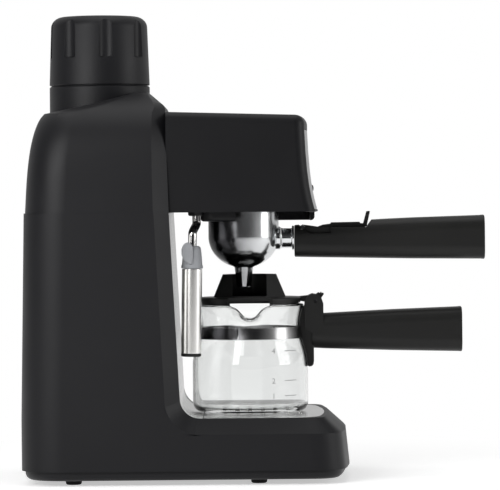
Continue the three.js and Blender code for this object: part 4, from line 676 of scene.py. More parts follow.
# %% Sizes of the housing
low, high = place("lower_housing")
HALF, REAR, NOSE = high.x, high.y, low.y
HOUSING_FOOT, SEAM = low.z, high.z
DECK = place("drip_grid")[1].z
TOWER = place("upper_housing")[0].y
LINER_HALF = place("back_liner")[1].x
FIT = 0.3
WALL = 2.5
CHAMFER = 10.7
FILLET = 13.5
TOWER_LEAN = 0.05
REAR_LEAN = 0.016
REAR_RADIUS = 30
NOSE_CORNER = 22
NOSE_BOW = 4
NOSE_LEAN = 3.7
print(f"housing {2 * HALF:.0f} wide, seam at {SEAM:.1f}, deck at {DECK:.1f}")

# %% [markdown]
# The lower housing is the C itself. A block for the tower gets its base by extruding the lower
# half of its front face. Then come the round corners, the fillet where the deck turns up into the
# tower, and the flat bevel along the whole inner edge, which is the line that one notices first
# on the machine.

# %% Plan of the base
def lean_at(height):
    """How far the tower's front stands forward at a height."""
    return TOWER_LEAN * (SEAM - height)


def bow_front(piece, half, nose, corner):
    """Bows a straight front face and rounds its two upright corners."""
    front = lambda face: middle(face).y < 25 and abs(face.normal.x) < 0.5
    for mark in (-0.68, -0.34, 0, 0.34, 0.68):
        divide(piece, (mark * half, 0, 0), (1, 0, 0), front)
    for mark in (0.34, 0.68, 1):
        column = lambda v: near(abs(middle(v).x), mark * half, 0.5) and middle(v).y < nose + 8
        move(piece, "VERT", column, (0, NOSE_BOW * (mark * half / (half - corner)) ** 2, 0))
    beside = lambda edge: near(abs(middle(edge).x), half, 1) and middle(edge).y < nose + 12
    bevel_edges(piece, lambda edge: upright(edge) and beside(edge), corner, 8, profile=0.56)


def round_rear(piece, beyond, radius):
    """Rounds the upright edges that lie behind a plane."""
    bevel_edges(piece, lambda edge: upright(edge) and middle(edge).y > beyond, radius, 14)


print("bowed fronts are ready")

# %% [markdown]
# The C is solid at first, because bevels run cleanly round a closed block. Only then are its top
# and its underside taken off, and the skin that is left gets the wall of a moulding.

# %% Lower housing
def housing_form():
    """The C as one closed block, before it becomes a shell."""
    body = block("lower_shell", (-HALF, TOWER, HOUSING_FOOT), (HALF, REAR, SEAM))
    divide(body, (0, 0, DECK), (0, 0, 1))
    pick(body, "FACE", lambda face: face.normal.y < -0.9 and middle(face).z < DECK)
    extrude((0, NOSE - TOWER, 0))
    across = lambda edge: abs(direction(edge).x) > 0.9
    at = lambda edge, y, z: across(edge) and near(middle(edge).y, y) and near(middle(edge).z, z)
    for y, z, by in (
        (REAR, SEAM, -REAR_LEAN * (SEAM - HOUSING_FOOT)),
        (TOWER, DECK, -lean_at(DECK)),
        (NOSE, DECK, NOSE_LEAN),
    ):
        move(body, "EDGE", lambda edge: at(edge, y, z), (0, by, 0))
    bow_front(body, HALF, NOSE, NOSE_CORNER)
    turn = TOWER - lean_at(DECK)
    bevel_edges(body, lambda edge: at(edge, turn, DECK), FILLET, segments=10)
    round_rear(body, REAR - 8, REAR_RADIUS)
    return body


def is_inner(face):
    """Whether a face belongs to the deck, the fillet or the tower's front."""
    return abs(face.normal.x) < 0.1 and (
        face.normal.z > 0.5 or (face.normal.y < -0.5 and middle(face).z > DECK + 1)
    )


def on_inner_rim(edge):
    """Whether an edge lies where an inner face of the C meets a flank or the nose."""
    outer = [face for face in edge.link_faces if not is_inner(face)]
    meets = len(edge.link_faces) == 2 and len(outer) == 1
    return meets and abs(outer[0].normal.z) <= 0.9 and middle(edge).z < SEAM - 1


def lower_shell():
    body = housing_form()
    bevel_edges(body, on_inner_rim, CHAMFER)
    top = lambda face: upward(face) and middle(face).z > SEAM - 1
    return hollow(body, lambda face: downward(face) or top(face), WALL)


lower = lower_shell()
print("lower housing:", len(lower.data.polygons), "faces before its beds are cut")

# %% [markdown]
# The bright sheet that lines the tower and the perforated plate on the deck both lie in shallow
# beds, so that only a hairline shows round them. The tool for each bed is the plate itself, a
# little larger.

# %% Beds and liner
def grid_form(name, grow, bottom, top):
    """The outline of the drip grid as a block."""
    low, high = place("drip_grid")
    half, nose = high.x + grow, low.y - grow
    body = block(name, (-half, nose, bottom), (half, high.y + grow, top))
    bow_front(body, half, nose, NOSE_CORNER)
    return body


def liner_form(name, half, face, back):
    """A sheet that runs down the tower, round the fillet and onto the deck: its faces stand
    this far in front of and behind the line of the housing."""
    front_end = place("back_liner")[0].y
    z = DECK + FILLET
    y = TOWER - lean_at(z) - FILLET
    body = block(name, (-half, TOWER - face, SEAM - 1), (half, TOWER + back, SEAM))
    pick(body, "FACE", downward)
    extrude((0, -lean_at(z), z - SEAM + 1))
    steps = 12
    for _ in range(steps):
        bpy.ops.mesh.extrude_region_move()
        bpy.ops.transform.rotate(
            value=math.radians(90 / steps), orient_axis="X", center_override=(0, y * MM, z * MM)
        )
    extrude((0, front_end - y, 0))
    only(body)
    return body


gland_x, _, gland_z = midpoint("cord_gland")
gland_radius = place("cord_gland")[1].x - gland_x
carve(
    lower,
    rod("gland_hole", gland_radius + FIT, (gland_x, 140, gland_z), (gland_x, ASIDE, gland_z)),
    grid_form("grid_bed", FIT, DECK - 9, DECK + 5),
    liner_form("liner_bed", LINER_HALF + FIT, 5, 1 + FIT),
)
move(lower, "VERT", lambda vertex: middle(vertex).z > SEAM - 0.05, (0, 0, FIT - 0.02))
finish(soften(lower, 0.55), "housing", "black_housing", "lower_housing")
liner = liner_form("liner", LINER_HALF, 0, 1)
finish(soften(liner, 0.2), "housing", "bright_steel", "back_liner")

# %% [markdown]
# The drip grid is one pressed plate with rows of short slots. A slot is shaped once, copied to
# all its places, and the copies are joined, so that a single cut opens them all.

# %% Drip grid
def drip_slots(low, high):
    """All the drain slots as one tool: one slot is shaped, then copied along its row."""
    rows, pitch, columns = range(-3, 4), 9, (8.7, 20.7, 32.7)
    centre_y = midpoint("drip_tray")[1]
    first = block("slot", (-4.7, -1.5, low.z - 5), (4.7, 1.5, high.z + 5))
    bevel_edges(first, upright, 1.45, segments=6)
    copies = [
        put(twin(first), (x, centre_y + pitch * row, 0))
        for row in rows
        for x in [-column for column in reversed(columns)] + list(columns)
    ]
    bpy.data.objects.remove(first)
    return join(copies)


low, high = place("drip_grid")
drip_plate = carve(grid_form("drip_plate", 0, low.z, high.z), drip_slots(low, high))
finish(soften(drip_plate, 0.2), "housing", "bright_steel", "drip_grid")

# %% [markdown]
# The upper housing continues the flanks and then rolls over into the round collar under the cap.
# The plan is a block with bevelled front corners and round rear ones, and the roll is made by
# extruding its top again and again, each time a little smaller and further back along a smooth
# curve.

# %% Line of the shoulder
upper_low, upper_high = place("upper_housing")
CAP_Y = midpoint("cap_shell")[1]
COLLAR = place("cap_shell")[1].x
SHOULDER = SEAM + 85.3
BROW = SEAM + 74.5
REAR_BROW = SEAM + 71.6
REAR_SET_BACK = 16.8


def roll(t, power):
    """From 0 to 1, slowly at first and then steeply, like a quarter of a rounded square."""
    return 1 - math.sqrt(1 - min(1, t) ** power)


def shoulder_limits(z):
    """Half width, front and rear of the upper housing at a height."""
    t = (z - SEAM) / (SHOULDER - SEAM)
    half = HALF - (HALF - COLLAR) * (0.04 * t + 0.96 * roll(t, 4))
    front = TOWER + 0.03 * (min(z, BROW) - SEAM)
    front += (CAP_Y - COLLAR - TOWER - 2.2) * max(0, z - BROW) / (SHOULDER - BROW)
    back = (z - SEAM) / (REAR_BROW - SEAM)
    rear = upper_high.y - REAR_SET_BACK * (0.2 * min(1, back) + 0.8 * roll(back, 3))
    if back > 1:
        over = (z - REAR_BROW) / (SHOULDER - REAR_BROW)
        rear -= 0.8 * (CAP_Y - COLLAR) * min(1, over) ** 0.8
    return half, front, rear


print("the shoulder ends at", SHOULDER)

# %% [markdown]
# The skin follows that line in small steps, closer together towards the top where it turns most.
# The collar is turned separately and welded on, so that it stays truly round.

# %% Upper housing
def rolled_block():
    """The flanks and the roll as one closed block."""
    half, front, rear = shoulder_limits(SEAM)
    height = upper_low.z + 1
    body = block("upper_shell", (-half, front, upper_low.z), (half, rear, height))
    bevel_edges(body, lambda edge: upright(edge) and middle(edge).y < front + 1, CHAMFER)
    round_rear(body, rear - 1, REAR_RADIUS)
    pick(body, "FACE", upward)
    steps = 26
    for step in range(1, steps + 1):
        z = SEAM + (SHOULDER - SEAM) * math.sin(math.pi / 2 * step / steps)
        new_half, new_front, new_rear = shoulder_limits(z)
        extrude(
            (0, (new_front + new_rear - front - rear) / 2, z - height),
            (new_half / half, (new_rear - new_front) / (rear - front), 1),
            (0, (new_front + new_rear) / 2, z),
        )
        half, front, rear, height = new_half, new_front, new_rear, z
    return body


def upper_shell():
    foot = lambda face: face.normal.z < -0.98 and middle(face).z < SEAM + 2
    body = hollow(rolled_block(), foot, WALL)
    bore, top = place("neck_gasket")[1].x, upper_high.z
    profile = [
        (bore, SHOULDER - 16), (COLLAR - 0.4, SHOULDER - 16), (COLLAR, SHOULDER - 15),
        (COLLAR, top - 0.8), (COLLAR - 0.8, top), (bore, top), (bore, SHOULDER - 16),
    ]
    collar = turned("collar", profile, (0, CAP_Y), 96)
    throat = rod("throat", bore, (0, CAP_Y, SHOULDER - 20), (0, CAP_Y, top + 5), 96)
    return weld(carve(body, throat), collar)


upper = soften(upper_shell(), 0.5, angle=24)
finish(upper, "housing", "black_housing", "upper_housing", smooth=26)

# %% [markdown]
# The brew head is a box that the front panel bows out of. Its front is divided into a few bands
# and columns first; then each band is moved to the line of the lip and each column back from the
# middle, and the round corners come last. The panel and its bed go through the same two moves.

# %% Shaping a bowed front
head_low, head_high = place("head_housing")
panel_low, panel_high = place("front_panel")
lens_low, lens_high = place("indicator_lens")
LENS_Z = midpoint("indicator_lens")[2]
KNOB_Y, KNOB_Z = midpoint("selector_knob")[1:]
BREW = (0, midpoint("filter_basket")[1])
HEAD_HALF = head_high.x
HEAD_TOP = SEAM + 67.5
HEAD_NOSE = head_low.y + 7.2
HEAD_BOW = 3.4
HEAD_RISE = 3.0
LIP_KICK = -7.2
BANDS = [0, 3, 7, 12, 19, 29, 42]


def bow(piece, half, reach, levels, kick=LIP_KICK):
    """Bends everything in front of a plane: bands follow the lip and columns follow the bow."""
    for z in levels[1:-1]:
        divide(piece, (0, 0, z), (0, 0, 1))
    for mark in (0, -0.25, 0.25, -0.5, 0.5, -0.75, 0.75):
        divide(piece, (mark * half, 0, 0), (1, 0, 0))
    tidy(piece)
    front = lambda vertex: middle(vertex).y < reach
    for z in levels:
        t = min(1, max(0, (panel_high.z - z) / (panel_high.z - SEAM)))
        shift = kick * (0.35 * t + 0.65 * t**3.2)
        move(piece, "VERT", lambda v: front(v) and near(middle(v).z, z, 0.2), (0, shift, 0))
    for mark in (0.25, 0.5, 0.75, 1):
        column = lambda v: near(abs(middle(v).x), mark * half, 0.2)
        move(piece, "VERT", lambda v: front(v) and column(v), (0, HEAD_BOW * mark**2, 0))
    return piece


def panel_sheet(name, grow, front, back):
    """The panel as a bowed sheet whose two faces stand this far behind the line of the head."""
    low, high = panel_low.z - grow, panel_high.z + grow
    half = panel_high.x + grow
    sheet = block(name, (-half, HEAD_NOSE + front, low), (half, HEAD_NOSE + back, high))
    return bow(sheet, half, 60, [low] + [low + band for band in BANDS[1:]] + [high])


def lens_hole():
    return rod("lens_hole", lens_high.x + FIT, (0, -60, LENS_Z), (0, 0, LENS_Z))


print("brew axis at", BREW)

# %% [markdown]
# The head's shell is open below and behind. Its panel's bed is cut a little larger than the panel
# itself, which leaves an even hairline all round.

# %% Head housing
def head_shell():
    body = block("head_shell", (-HEAD_HALF, HEAD_NOSE, SEAM), (HEAD_HALF, head_high.y, HEAD_TOP))
    levels = [SEAM + band for band in BANDS] + [panel_high.z, HEAD_TOP]
    bow(body, HEAD_HALF, HEAD_NOSE + 20, levels)
    for z, by in ((HEAD_TOP, (0, 0, HEAD_RISE)), (SEAM, (0, -2, 0))):
        move(body, "VERT", lambda v: middle(v).y > 50 and near(middle(v).z, z), by)
    beside = lambda edge: near(abs(middle(edge).x), HEAD_HALF) and middle(edge).y < 0
    bevel_edges(body, lambda edge: abs(direction(edge).z) > 0.7 and beside(edge), 7, 7)
    above = lambda edge: middle(edge).z > HEAD_TOP - 1 and middle(edge).y < 55
    brink = lambda edge: sum(upward(face) for face in edge.link_faces) == 1
    bevel_edges(body, lambda edge: above(edge) and brink(edge), 6.4, segments=6)
    hollow(body, lambda face: downward(face) or face.normal.y > 0.9, 2.6)
    spindle_hole = rod("spindle_hole", 3.6, (50, KNOB_Y, KNOB_Z), (100, KNOB_Y, KNOB_Z))
    return carve(body, panel_sheet("panel_bed", FIT, -6, 1.9), lens_hole(), spindle_hole)


finish(soften(head_shell(), 0.45, angle=34), "housing", "black_head", "head_housing")

# %% [markdown]
# The front panel is a thin lacquered sheet with a small round lens in it. It could be painted on
# the head, but a sheet of its own has an edge that catches the light. A square of finer faces
# round the hole keeps the shading of the broad bowed faces calm.

# %% Front panel and its lens
LENS_FIELD = 4.2
panel = panel_sheet("panel", 0, 0.05, 1.6)
is_corner = lambda edge: (
    abs(direction(edge).y) > 0.8
    and near(abs(middle(edge).x), panel_high.x, 0.6)
    and not panel_low.z + 1 < middle(edge).z < panel_high.z - 1
)
bevel_edges(panel, is_corner, 3, segments=5)
broad = lambda face: abs(face.normal.y) > 0.5
for side in (LENS_FIELD, -LENS_FIELD):
    divide(panel, (side, 0, 0), (1, 0, 0), broad)
for side in (LENS_FIELD, -LENS_FIELD):
    divide(panel, (0, 0, LENS_Z + side), (0, 0, 1), broad)
carve(tidy(panel), lens_hole())
finish(soften(panel, 0.3, angle=40), "housing", "silver_panel", "front_panel")


def lens_body():
    """A short rod with a domed end that stands a millimetre out of the panel."""
    radius, length, dome = lens_high.x, lens_high.y - lens_low.y, 1.4
    steps = [(0, 0)]
    for step in range(1, 9):
        angle = step * math.pi / 16
        steps.append((radius * math.sin(angle), dome * (1 - math.cos(angle))))
    lens = turned("lens", steps + [(radius, length), (0, length)], vertices=40)
    return put(lens, (0, lens_low.y, LENS_Z), (-90, 0, 0))


finish(lens_body(), "housing", "red_lens", "indicator_lens")

# %% [markdown]
# Under the head a floor plate carries the group, and a rim hangs round it like an apron. The rim
# is missing in front of the group on the user's left, so that the filter holder can swing out.

# %% Floor and rim of the head
def apron(bottom, front):
    """The rim: a round-cornered block, hollowed, with a gap at its front left."""
    half, rear, wall, corner = 56, 38.5, 3, 10
    rim = block("rim", (-half, front, bottom), (half, rear, SEAM + 1))
    bevel_edges(rim, upright, corner, segments=8)
    bevel_edges(rim, lambda edge: middle(edge).z < bottom + 0.1, 2.8, segments=5)
    inside = block("rim_inside", (wall - half, front + wall, 0), (half - wall, rear - wall, FAR))
    bevel_edges(inside, upright, corner - wall, segments=8)
    return carve(rim, inside, block("gap", (-ASIDE, -ASIDE, 0), (7, 13.3, SEAM + FIT)))


def head_underside():
    low, high = place("head_floor")
    half, group_radius, wand_radius = HEAD_HALF - 2.8, 31.4, 6.3
    plate = block("underside", (-half, HEAD_NOSE, SEAM + FIT), (half, high.y, high.z))
    bow(plate, half, HEAD_NOSE + 20, [SEAM + FIT, high.z], kick=0)
    move(plate, "VERT", lambda v: middle(v).y < HEAD_NOSE + 20, (0, -4.2, 0))
    weld(plate, apron(low.z, low.y))
    wand = midpoint("wand_bushing")[:2]
    return carve(
        plate,
        rod("group_hole", group_radius, (*BREW, 0), (*BREW, FAR), 96),
        rod("wand_hole", wand_radius, (*wand, 0), (*wand, FAR)),
    )


print("half width of the head:", HEAD_HALF)
finish(soften(head_underside(), 0.4), "housing", "black_head", "head_floor")

# %% [markdown]
# The cap is a turned shell with a slight taper and a soft shoulder. Eight scallops round its
# upper part give the hand its hold; they are cut with one rod that has a rounded lower end.

# %% Cap
def cap():
    low, high = place("cap_shell")
    foot, top = low.z, high.z
    shoulder = top - 8.5
    crown = COLLAR - 1.4
    profile = [(COLLAR - 0.5, foot), (COLLAR, foot + 0.5), (crown, shoulder)]
    for step in range(1, 10):
        angle = math.radians(10 * step)
        profile.append((crown - 9 * (1 - math.cos(angle)), shoulder + 8 * math.sin(angle)))
    profile += [(crown - 14, top - 0.3), (0, top)]
    body = thicken(turned("cap", profile, (0, CAP_Y), 96), 3.2)
    flutes, start, reach = 8, top - 30.5, crown + 4.1
    for number in range(flutes):
        angle = math.radians(190 + 360 * number / flutes)
        x, y = reach * math.cos(angle), CAP_Y + reach * math.sin(angle)
        flute = rod("flute", 6.2, (x, y, start), (x, y, top + 5), 40)
        bevel_edges(flute, lambda edge: middle(edge).z < start + 0.1, 1.2, segments=3)
        carve(body, flute)
    lip = tube("lip", COLLAR - 4, COLLAR - 1.6, foot - 0.5, foot + 1, (0, CAP_Y))
    return weld(soften(body, 0.6, 3, angle=28), lip)


finish(cap(), "cap", "black_housing", "cap_shell")

# %% [markdown]
# The filter holder is a polished casting: a straight collar, a bowl that rounds in to the spout,
# and a boss on its front for the handle. The curve of the bowl is a quarter ellipse, so its steps
# come from a sine and a cosine.

# %% Filter bowl
def quarter(radius, depth, top, end, steps):
    """A quarter ellipse from its rim down to the radius where it ends."""
    whole = math.acos(end / radius)
    angles = [whole * step / steps for step in range(steps + 1)]
    return [(radius * math.cos(angle), top - depth * math.sin(angle)) for angle in angles]


def filter_bowl():
    low, high = place("filter_bowl")
    rim, tip = high.z, low.z
    radius = high.x - 3.4
    inner, depth, inner_depth = radius - 1.8, 22.5, 18
    shoulder = SEAM - 18
    lug_low, lug_high = SEAM + 2.9, SEAM + 6.3
    outside = [(radius, rim), (radius, shoulder)] + quarter(radius, depth, shoulder, 7.8, 18)[1:]
    last = outside[-1][1]
    outside += [
        (6.9, last - 0.5), (6.6, last - 1.4), (6.3, last - 4), (5.2, tip + 0.4), (4.8, tip),
    ]
    inside = [(3.6, tip), (3.6, shoulder - 17.5)]
    inside += reversed(quarter(inner, inner_depth, shoulder, 3.8, 12))
    inside += [(inner, rim), (radius, rim)]
    bowl = turned("bowl", outside + inside, BREW, 128)
    lugs = block("lugs", (-high.x, BREW[1] - 6, lug_low), (high.x, BREW[1] + 6, lug_high))
    reach = rod("reach", high.x, (*BREW, lug_low - 1), (*BREW, lug_high + 1), 96)
    carve(lugs, reach, operation="INTERSECT")
    axis = midpoint("handle_ferrule")[2]
    face = place("handle_ferrule")[1].y + FIT
    boss = rod("boss", 8.2, (0, -10, axis), (0, face, axis), 64)
    bevel_edges(boss, lambda edge: near(middle(edge).y, face, 0.1), 1, segments=4)
    bore = rod("bore", inner, (*BREW, SEAM - 20), (*BREW, rim + 5), 128)
    return soften(carve(weld(bowl, lugs, boss), bore), 0.35, 3, angle=30)


# The casting's finish is painted dark on the side towards the tower, as painted shade.
finish(filter_bowl(), "portafilter", "cast_aluminium", "filter_bowl", smooth=24)

# %% [markdown]
# The ferrule is a turned ring between the casting and the handle. It is modelled upright, as on a
# lathe, and then laid along the handle.

# %% Ferrule between bowl and handle
def ferrule():
    low, high = place("handle_ferrule")
    length = high.y - low.y
    profile = [
        (0, 0), (7.6, 0), (7.2, 0.4), (7, 1.2), (7, length - 2.2), (7.2, length - 1.7),
        (7.8, length - 1.5), (8.8, length - 1.4), (8.8, length), (0, length),
    ]
    body = turned("ferrule", profile, vertices=72)
    return soften(put(body, (0, high.y, (low.z + high.z) / 2), (90, 0, 0)), 0.12, 2)


finish(ferrule(), "portafilter", "cast_aluminium", "handle_ferrule")

# %% [markdown]
# Both handles are the same kind of moulding: a block whose end faces are extruded from station to
# station, a little larger each time, with long soft bevels. `grip` is given the low and the high
# edge of each station, and how slim the section is.

# %% Tapered grips
def grip(name, stations, slimness, corner):
    """A tapered handle along -Y; each station is [y, low z, high z]."""
    y, low, high = stations[0]
    half = (high - low) / 2 * slimness
    body = block(name, (-half, y - 0.5, low), (half, y, high))
    pick(body, "FACE", lambda face: face.normal.y < -0.9)
    y -= 0.5
    for new_y, new_low, new_high in stations[1:]:
        scale = (new_high - new_low) / (high - low)
        extrude(
            (0, new_y - y, (new_low + new_high - low - high) / 2),
            (scale, 1, scale),
            (0, new_y, (new_low + new_high) / 2),
        )
        y, low, high = new_y, new_low, new_high
    bevel_edges(body, lambda edge: abs(direction(edge).y) > 0.9, corner, 12, profile=0.56)
    ends = lambda edge: sum(abs(face.normal.y) > 0.9 for face in edge.link_faces) == 1
    bevel_edges(body, ends, 0.9, segments=3)
    return body


print("grips are ready")

# %% [markdown]
# The filter holder's handle starts as such a grip. Its top is cut down where the retainer lies,
# and a channel for that lever, two recesses and the bore for the pin are cut out of it, as the
# inserts of the real mould leave them open.

# %% Filter holder's handle
def holder_grip(low, high):
    """The grip of the filter holder between the corners of its frame node."""
    start, tip = high.y, low.y
    rows = [
        (start, 2.8, 5.8), (start - 12, 2.5, 5.1), (start - 48, 1.7, 3), (start - 84, 0.9, 1.6),
        (tip + 3, 0.3, 0.3), (tip, 0, 0),
    ]
    stations = [(y, low.z + below, high.z - above) for y, below, above in rows]
    return grip("holder_handle", stations, 0.92, 10)


PIN_Y, PIN_Z = midpoint("retainer_pin")[1:]


def portafilter_handle():
    low, high = place("portafilter_handle")
    body, start = holder_grip(low, high), high.y
    lever = place("filter_retainer")[0].y
    floor, channel_half, core_half = SEAM - 12.5, 4.8, 6.6
    channel = block(
        "channel", (-channel_half, lever - 4, floor), (channel_half, start + 5, FAR)
    )
    bevel_edges(channel, lambda edge: middle(edge).y < lever, 0.5)
    far_top = lambda v: middle(v).y < lever and middle(v).z > FAR - 1
    move(channel, "VERT", far_top, (0, -(FAR - floor) * 0.5, 0))
    edge, thumb = floor + 0.7, start - 5.7
    corners = [
        (thumb, edge), (thumb + 3.6, edge + 3), (thumb + 3.6, FAR), (lever - 60, FAR),
        (lever - 2.2, edge + 6.4), (lever + 2.4, edge),
    ]
    shoulder = side_profile("shoulder", corners, 30)
    corners = [
        (thumb - 2, edge + 1), (thumb - 2, edge - 1.6), (thumb - 6, edge - 4.4),
        (thumb - 20.4, edge - 4.4), (thumb - 20.4, edge + 1),
    ]
    recess = side_profile("recess", corners, 30)
    carve(recess, block("core", (-core_half, -ASIDE, 0), (core_half, ASIDE, FAR)))
    seat = crossbar("seat", 4.4, channel_half, PIN_Y, PIN_Z, 48)
    eye = crossbar("eye", 1.56, 30, PIN_Y, PIN_Z)
    return carve(body, channel, shoulder, recess, seat, eye)


print("the retainer's pin lies at", PIN_Y, PIN_Z)
finish(soften(portafilter_handle(), 0.45), "portafilter", "black_handle", "portafilter_handle")

# %% [markdown]
# The retainer is flipped to hold the basket in while the grounds are knocked out. It is one flat
# lever: its outline is drawn from the side and extruded, and soft edges do the rest.

# %% Filter retainer
def retainer():
    """A lever that lies on the handle: claw over the pin, flat bar, and a tab for the thumb."""
    low, high = place("filter_retainer")
    tip, floor, crest = low.y, low.z, PIN_Z + 3.6
    claw = [
        (2, -1.6), (2.2, 0.6), (0, 2), (-6, 1.2), (-11, 0.4), (-14.6, 1.8), (-20, 2.4),
        (-20.6, 3.4),
    ]
    tab = [
        (7.6, crest), (7, crest - 0.9), (4.8, crest - 1.1), (2.4, high.z - 0.3), (0.5, high.z),
        (0, high.z - 0.5), (2.4, floor + 0.6), (4, floor + 0.1),
    ]
    bar = [(-20, 0.1), (-20.6, -2.8), (-7.6, -2.8), (-4, 0.1)]
    outline = [(PIN_Y + y, PIN_Z + z) for y, z in claw]
    outline += [(tip + y, z) for y, z in tab]
    outline += [(PIN_Y + y, floor + z) for y, z in bar]
    body = side_profile("retainer", outline, high.x)
    return carve(body, crossbar("eye", 1.58, 20, PIN_Y, PIN_Z))


finish(soften(retainer(), 0.3, angle=25), "retainer", "black_handle", "filter_retainer")

# %% [markdown]
# The carafe is blown glass, so its wall is drawn as one closed profile: foot, belly, waist and
# rim outside, and the same line again inside. The pouring lip is pulled out of the rim with
# proportional editing, as a glassblower would pull it with a rod.

# %% Carafe glass
glass_low, glass_high = place("carafe_glass")
GLASS_FOOT, GLASS_RIM = glass_low.z, glass_high.z
BELLY = glass_high.x
WAIST, LIP = BELLY - 5.5, BELLY - 2.8
GLASS_WALL = 1.6
CARAFE = (0, midpoint("carafe_band")[1])


def glass_radius(z):
    """Outer radius of the glass at a height above its foot."""
    if z <= 33:
        return BELLY
    if z <= 62:
        t = (z - 33) / 29
        return BELLY - (BELLY - WAIST) * t * t * (3 - 2 * t)
    return WAIST + (LIP - WAIST) * ((z - 62) / 15) ** 1.5


def on_glass(steps):
    """Steps whose heights were given above the foot of the glass."""
    return [(across, GLASS_FOOT + z) for across, z in steps]


def carafe_glass():
    rise = [14, 24] + [33 + 2.9 * step for step in range(10)] + [62, 65, 68, 70, 72, 74, 75.5]
    foot = [(0, 1.1), (31, 1), (34, 0.3), (36, 0.1), (38.2, 0.7), (39.9, 2), (41, 4)]
    foot.append((BELLY, 6.4))
    outside = [(glass_radius(z), z) for z in rise]
    rim = [(LIP, 76.1), (LIP - 0.2, 76.7), (LIP - 0.9, 77), (LIP - 1.6, 76.7)]
    rim.append((LIP - GLASS_WALL, 76.1))
    inside = [(glass_radius(z) - GLASS_WALL, z) for z in reversed(rise)]
    bowl = [(39.8, 6.8), (39.4, 5), (38.4, 3.6), (36.8, 2.8), (34, 2.6), (0, 2.7)]
    glass = turned("glass", on_glass(foot + outside + rim + inside + bowl), CARAFE, 144)
    tip = Vector((-LIP + 0.6, CARAFE[1], GLASS_RIM))
    on_tip = lambda v: (middle(v) - tip).length < 1.9 and middle(v).z > GLASS_RIM - 0.8
    pick(glass, "VERT", on_tip)
    for out, down, reach in ((4.4, 4.6, 16), (2.2, 4.2, 9)):
        bpy.ops.transform.translate(
            value=(-out * MM, 0, -down * MM), use_proportional_edit=True,
            proportional_edit_falloff="SMOOTH", proportional_size=reach * MM,
        )
    return tidy(glass)


finish(carafe_glass(), "carafe", "clear_glass", "carafe_glass", smooth=40)

# %% [markdown]
# The measuring marks are a film of paint: each sign starts as a long flat body, and only what it
# shares with a thin sleeve round the glass stays.

# %% Measuring marks
def printed(piece):
    """Wraps a flat sign round the glass."""
    low, high, under, film = GLASS_FOOT + 4, GLASS_FOOT + 52, 0.02, 0.1
    sleeve = tube("sleeve", BELLY + under, BELLY + film, low, high, CARAFE, 240)
    return carve(piece, sleeve, operation="INTERSECT")


def number(text, y, z):
    """A plain number that faces the user's left."""
    size, length, outside = 5.4, 30, -40
    only(None)
    bpy.ops.object.text_add()
    sign = bpy.context.active_object
    sign.data.body = text
    sign.data.size = size * MM
    sign.data.extrude = length * MM
    sign.data.resolution_u = 4
    bpy.ops.object.convert(target="MESH")
    return tidy(put(settle("number"), (outside, y, z), (90, 0, -90)))


marks = []
for text, height in (("4", 44.4), ("2", 23.2), ("1", 12.4)):
    z = GLASS_FOOT + height
    marks.append(printed(block("mark", (-60, -28.6, z - 0.22), (-5, -20.6, z + 0.22))))
    marks.append(printed(number(text, -11.2, z - 1.9)))
marks = join(marks)
marks.name = "measuring_marks"
finish(tidy(marks), "carafe", "white_print")

# %% [markdown]
# A steel band runs round the waist under the lid and holds the handle. It has a folded clasp
# where its two ends meet, on the user's left.

# %% Band
def band():
    low, high = place("carafe_band")
    sheet = 0.8
    steps = [low.z + (high.z - low.z) * step / 6 for step in range(7)]
    line = lambda z, grow: (glass_radius(z - GLASS_FOOT) + FIT + grow, z)
    profile = [line(z, sheet) for z in steps] + [line(z, 0) for z in reversed(steps)]
    ring = turned("band", profile + [profile[0]], CARAFE, 144)
    y, reach = 12.6, glass_radius((low.z + high.z) / 2 - GLASS_FOOT) + 1.6
    x = -math.sqrt(reach**2 - (y - CARAFE[1]) ** 2)
    slit = block("slit", (x - 4, y - 0.3, 0), (x + 1.3, y + 0.3, FAR))
    clasp = block("clasp", (x - 0.2, y + 0.5, low.z + 0.6), (x + 1.2, y + 7.6, high.z - 0.6))
    put(clasp, (-x, -y, 0))
    put(clasp, (x, y, 0), (0, 0, -math.degrees((y + 4 - CARAFE[1]) / reach)))
    return soften(weld(carve(ring, slit), clasp), 0.15, 2)


# The band's finish is painted dark towards the tower and darker than steel overall, as painted
# shade.
finish(band(), "carafe", "steel_with_painted_shade", "carafe_band")

# %% [markdown]
# The lid is a shallow disc with a slotted, eight-sided chimney that the spout drips into. The
# slot faces the user's left, where the spout passes when the carafe is slid away.

# %% Parts of the lid
LID_PIN_Y, LID_PIN_Z = midpoint("lid_pin")[1:]
LID_TOP = GLASS_FOOT + 82
LID_SEAT = GLASS_FOOT + 77.3
FLANGE = LIP - 1.2


def lid_eye(reach):
    """The bore for the hinge pin, in the lid and in the handle's ears."""
    radius = place("lid_pin")[1].z - LID_PIN_Z + 0.06
    return crossbar("eye", radius, reach, LID_PIN_Y, LID_PIN_Z)


def chimney(crest):
    """The eight-sided funnel, still solid."""
    facet = math.cos(math.pi / 8)
    half, crown, foot = 26.4 / facet, 19.3 / facet, LID_TOP - 1
    tower = turned("tower", [(0, foot), (half, foot), (crown, crest), (0, crest)], (0, 0), 8)
    put(tower, (*CARAFE, 0), (0, 0, 22.5))
    bevel_edges(tower, lambda edge: abs(direction(edge).z) > 0.4, 1.1, segments=4)
    return tower


def tongue():
    """The lid's end of the hinge, with a ridge for the thumb."""
    start = CARAFE[1] - FLANGE
    ridge = [
        (-2.4, -2), (-3.4, 1), (-6.2, 5), (-5.6, 6), (-4.9, 5.4), (-4.2, 6.6), (-3.4, 5.6),
        (-2.4, 6.2),
    ]
    outline = [(start + 6, LID_TOP - 2.4)]
    outline += [(LID_PIN_Y + y, LID_PIN_Z + z) for y, z in ridge]
    outline += [(LID_PIN_Y, LID_TOP + 1.4), (start + 4, LID_TOP - 0.1)]
    return side_profile("tongue", outline, 5)


print("the lid's pin lies at", LID_PIN_Y, LID_PIN_Z)

# %% [markdown]
# The disc and the chimney become one moulding, out of which the well, the slot, the notch over
# the pouring lip and the drain hole are cut. The tongue of the hinge is welded on. Soft edges
# come last, so that they also run round the new openings.

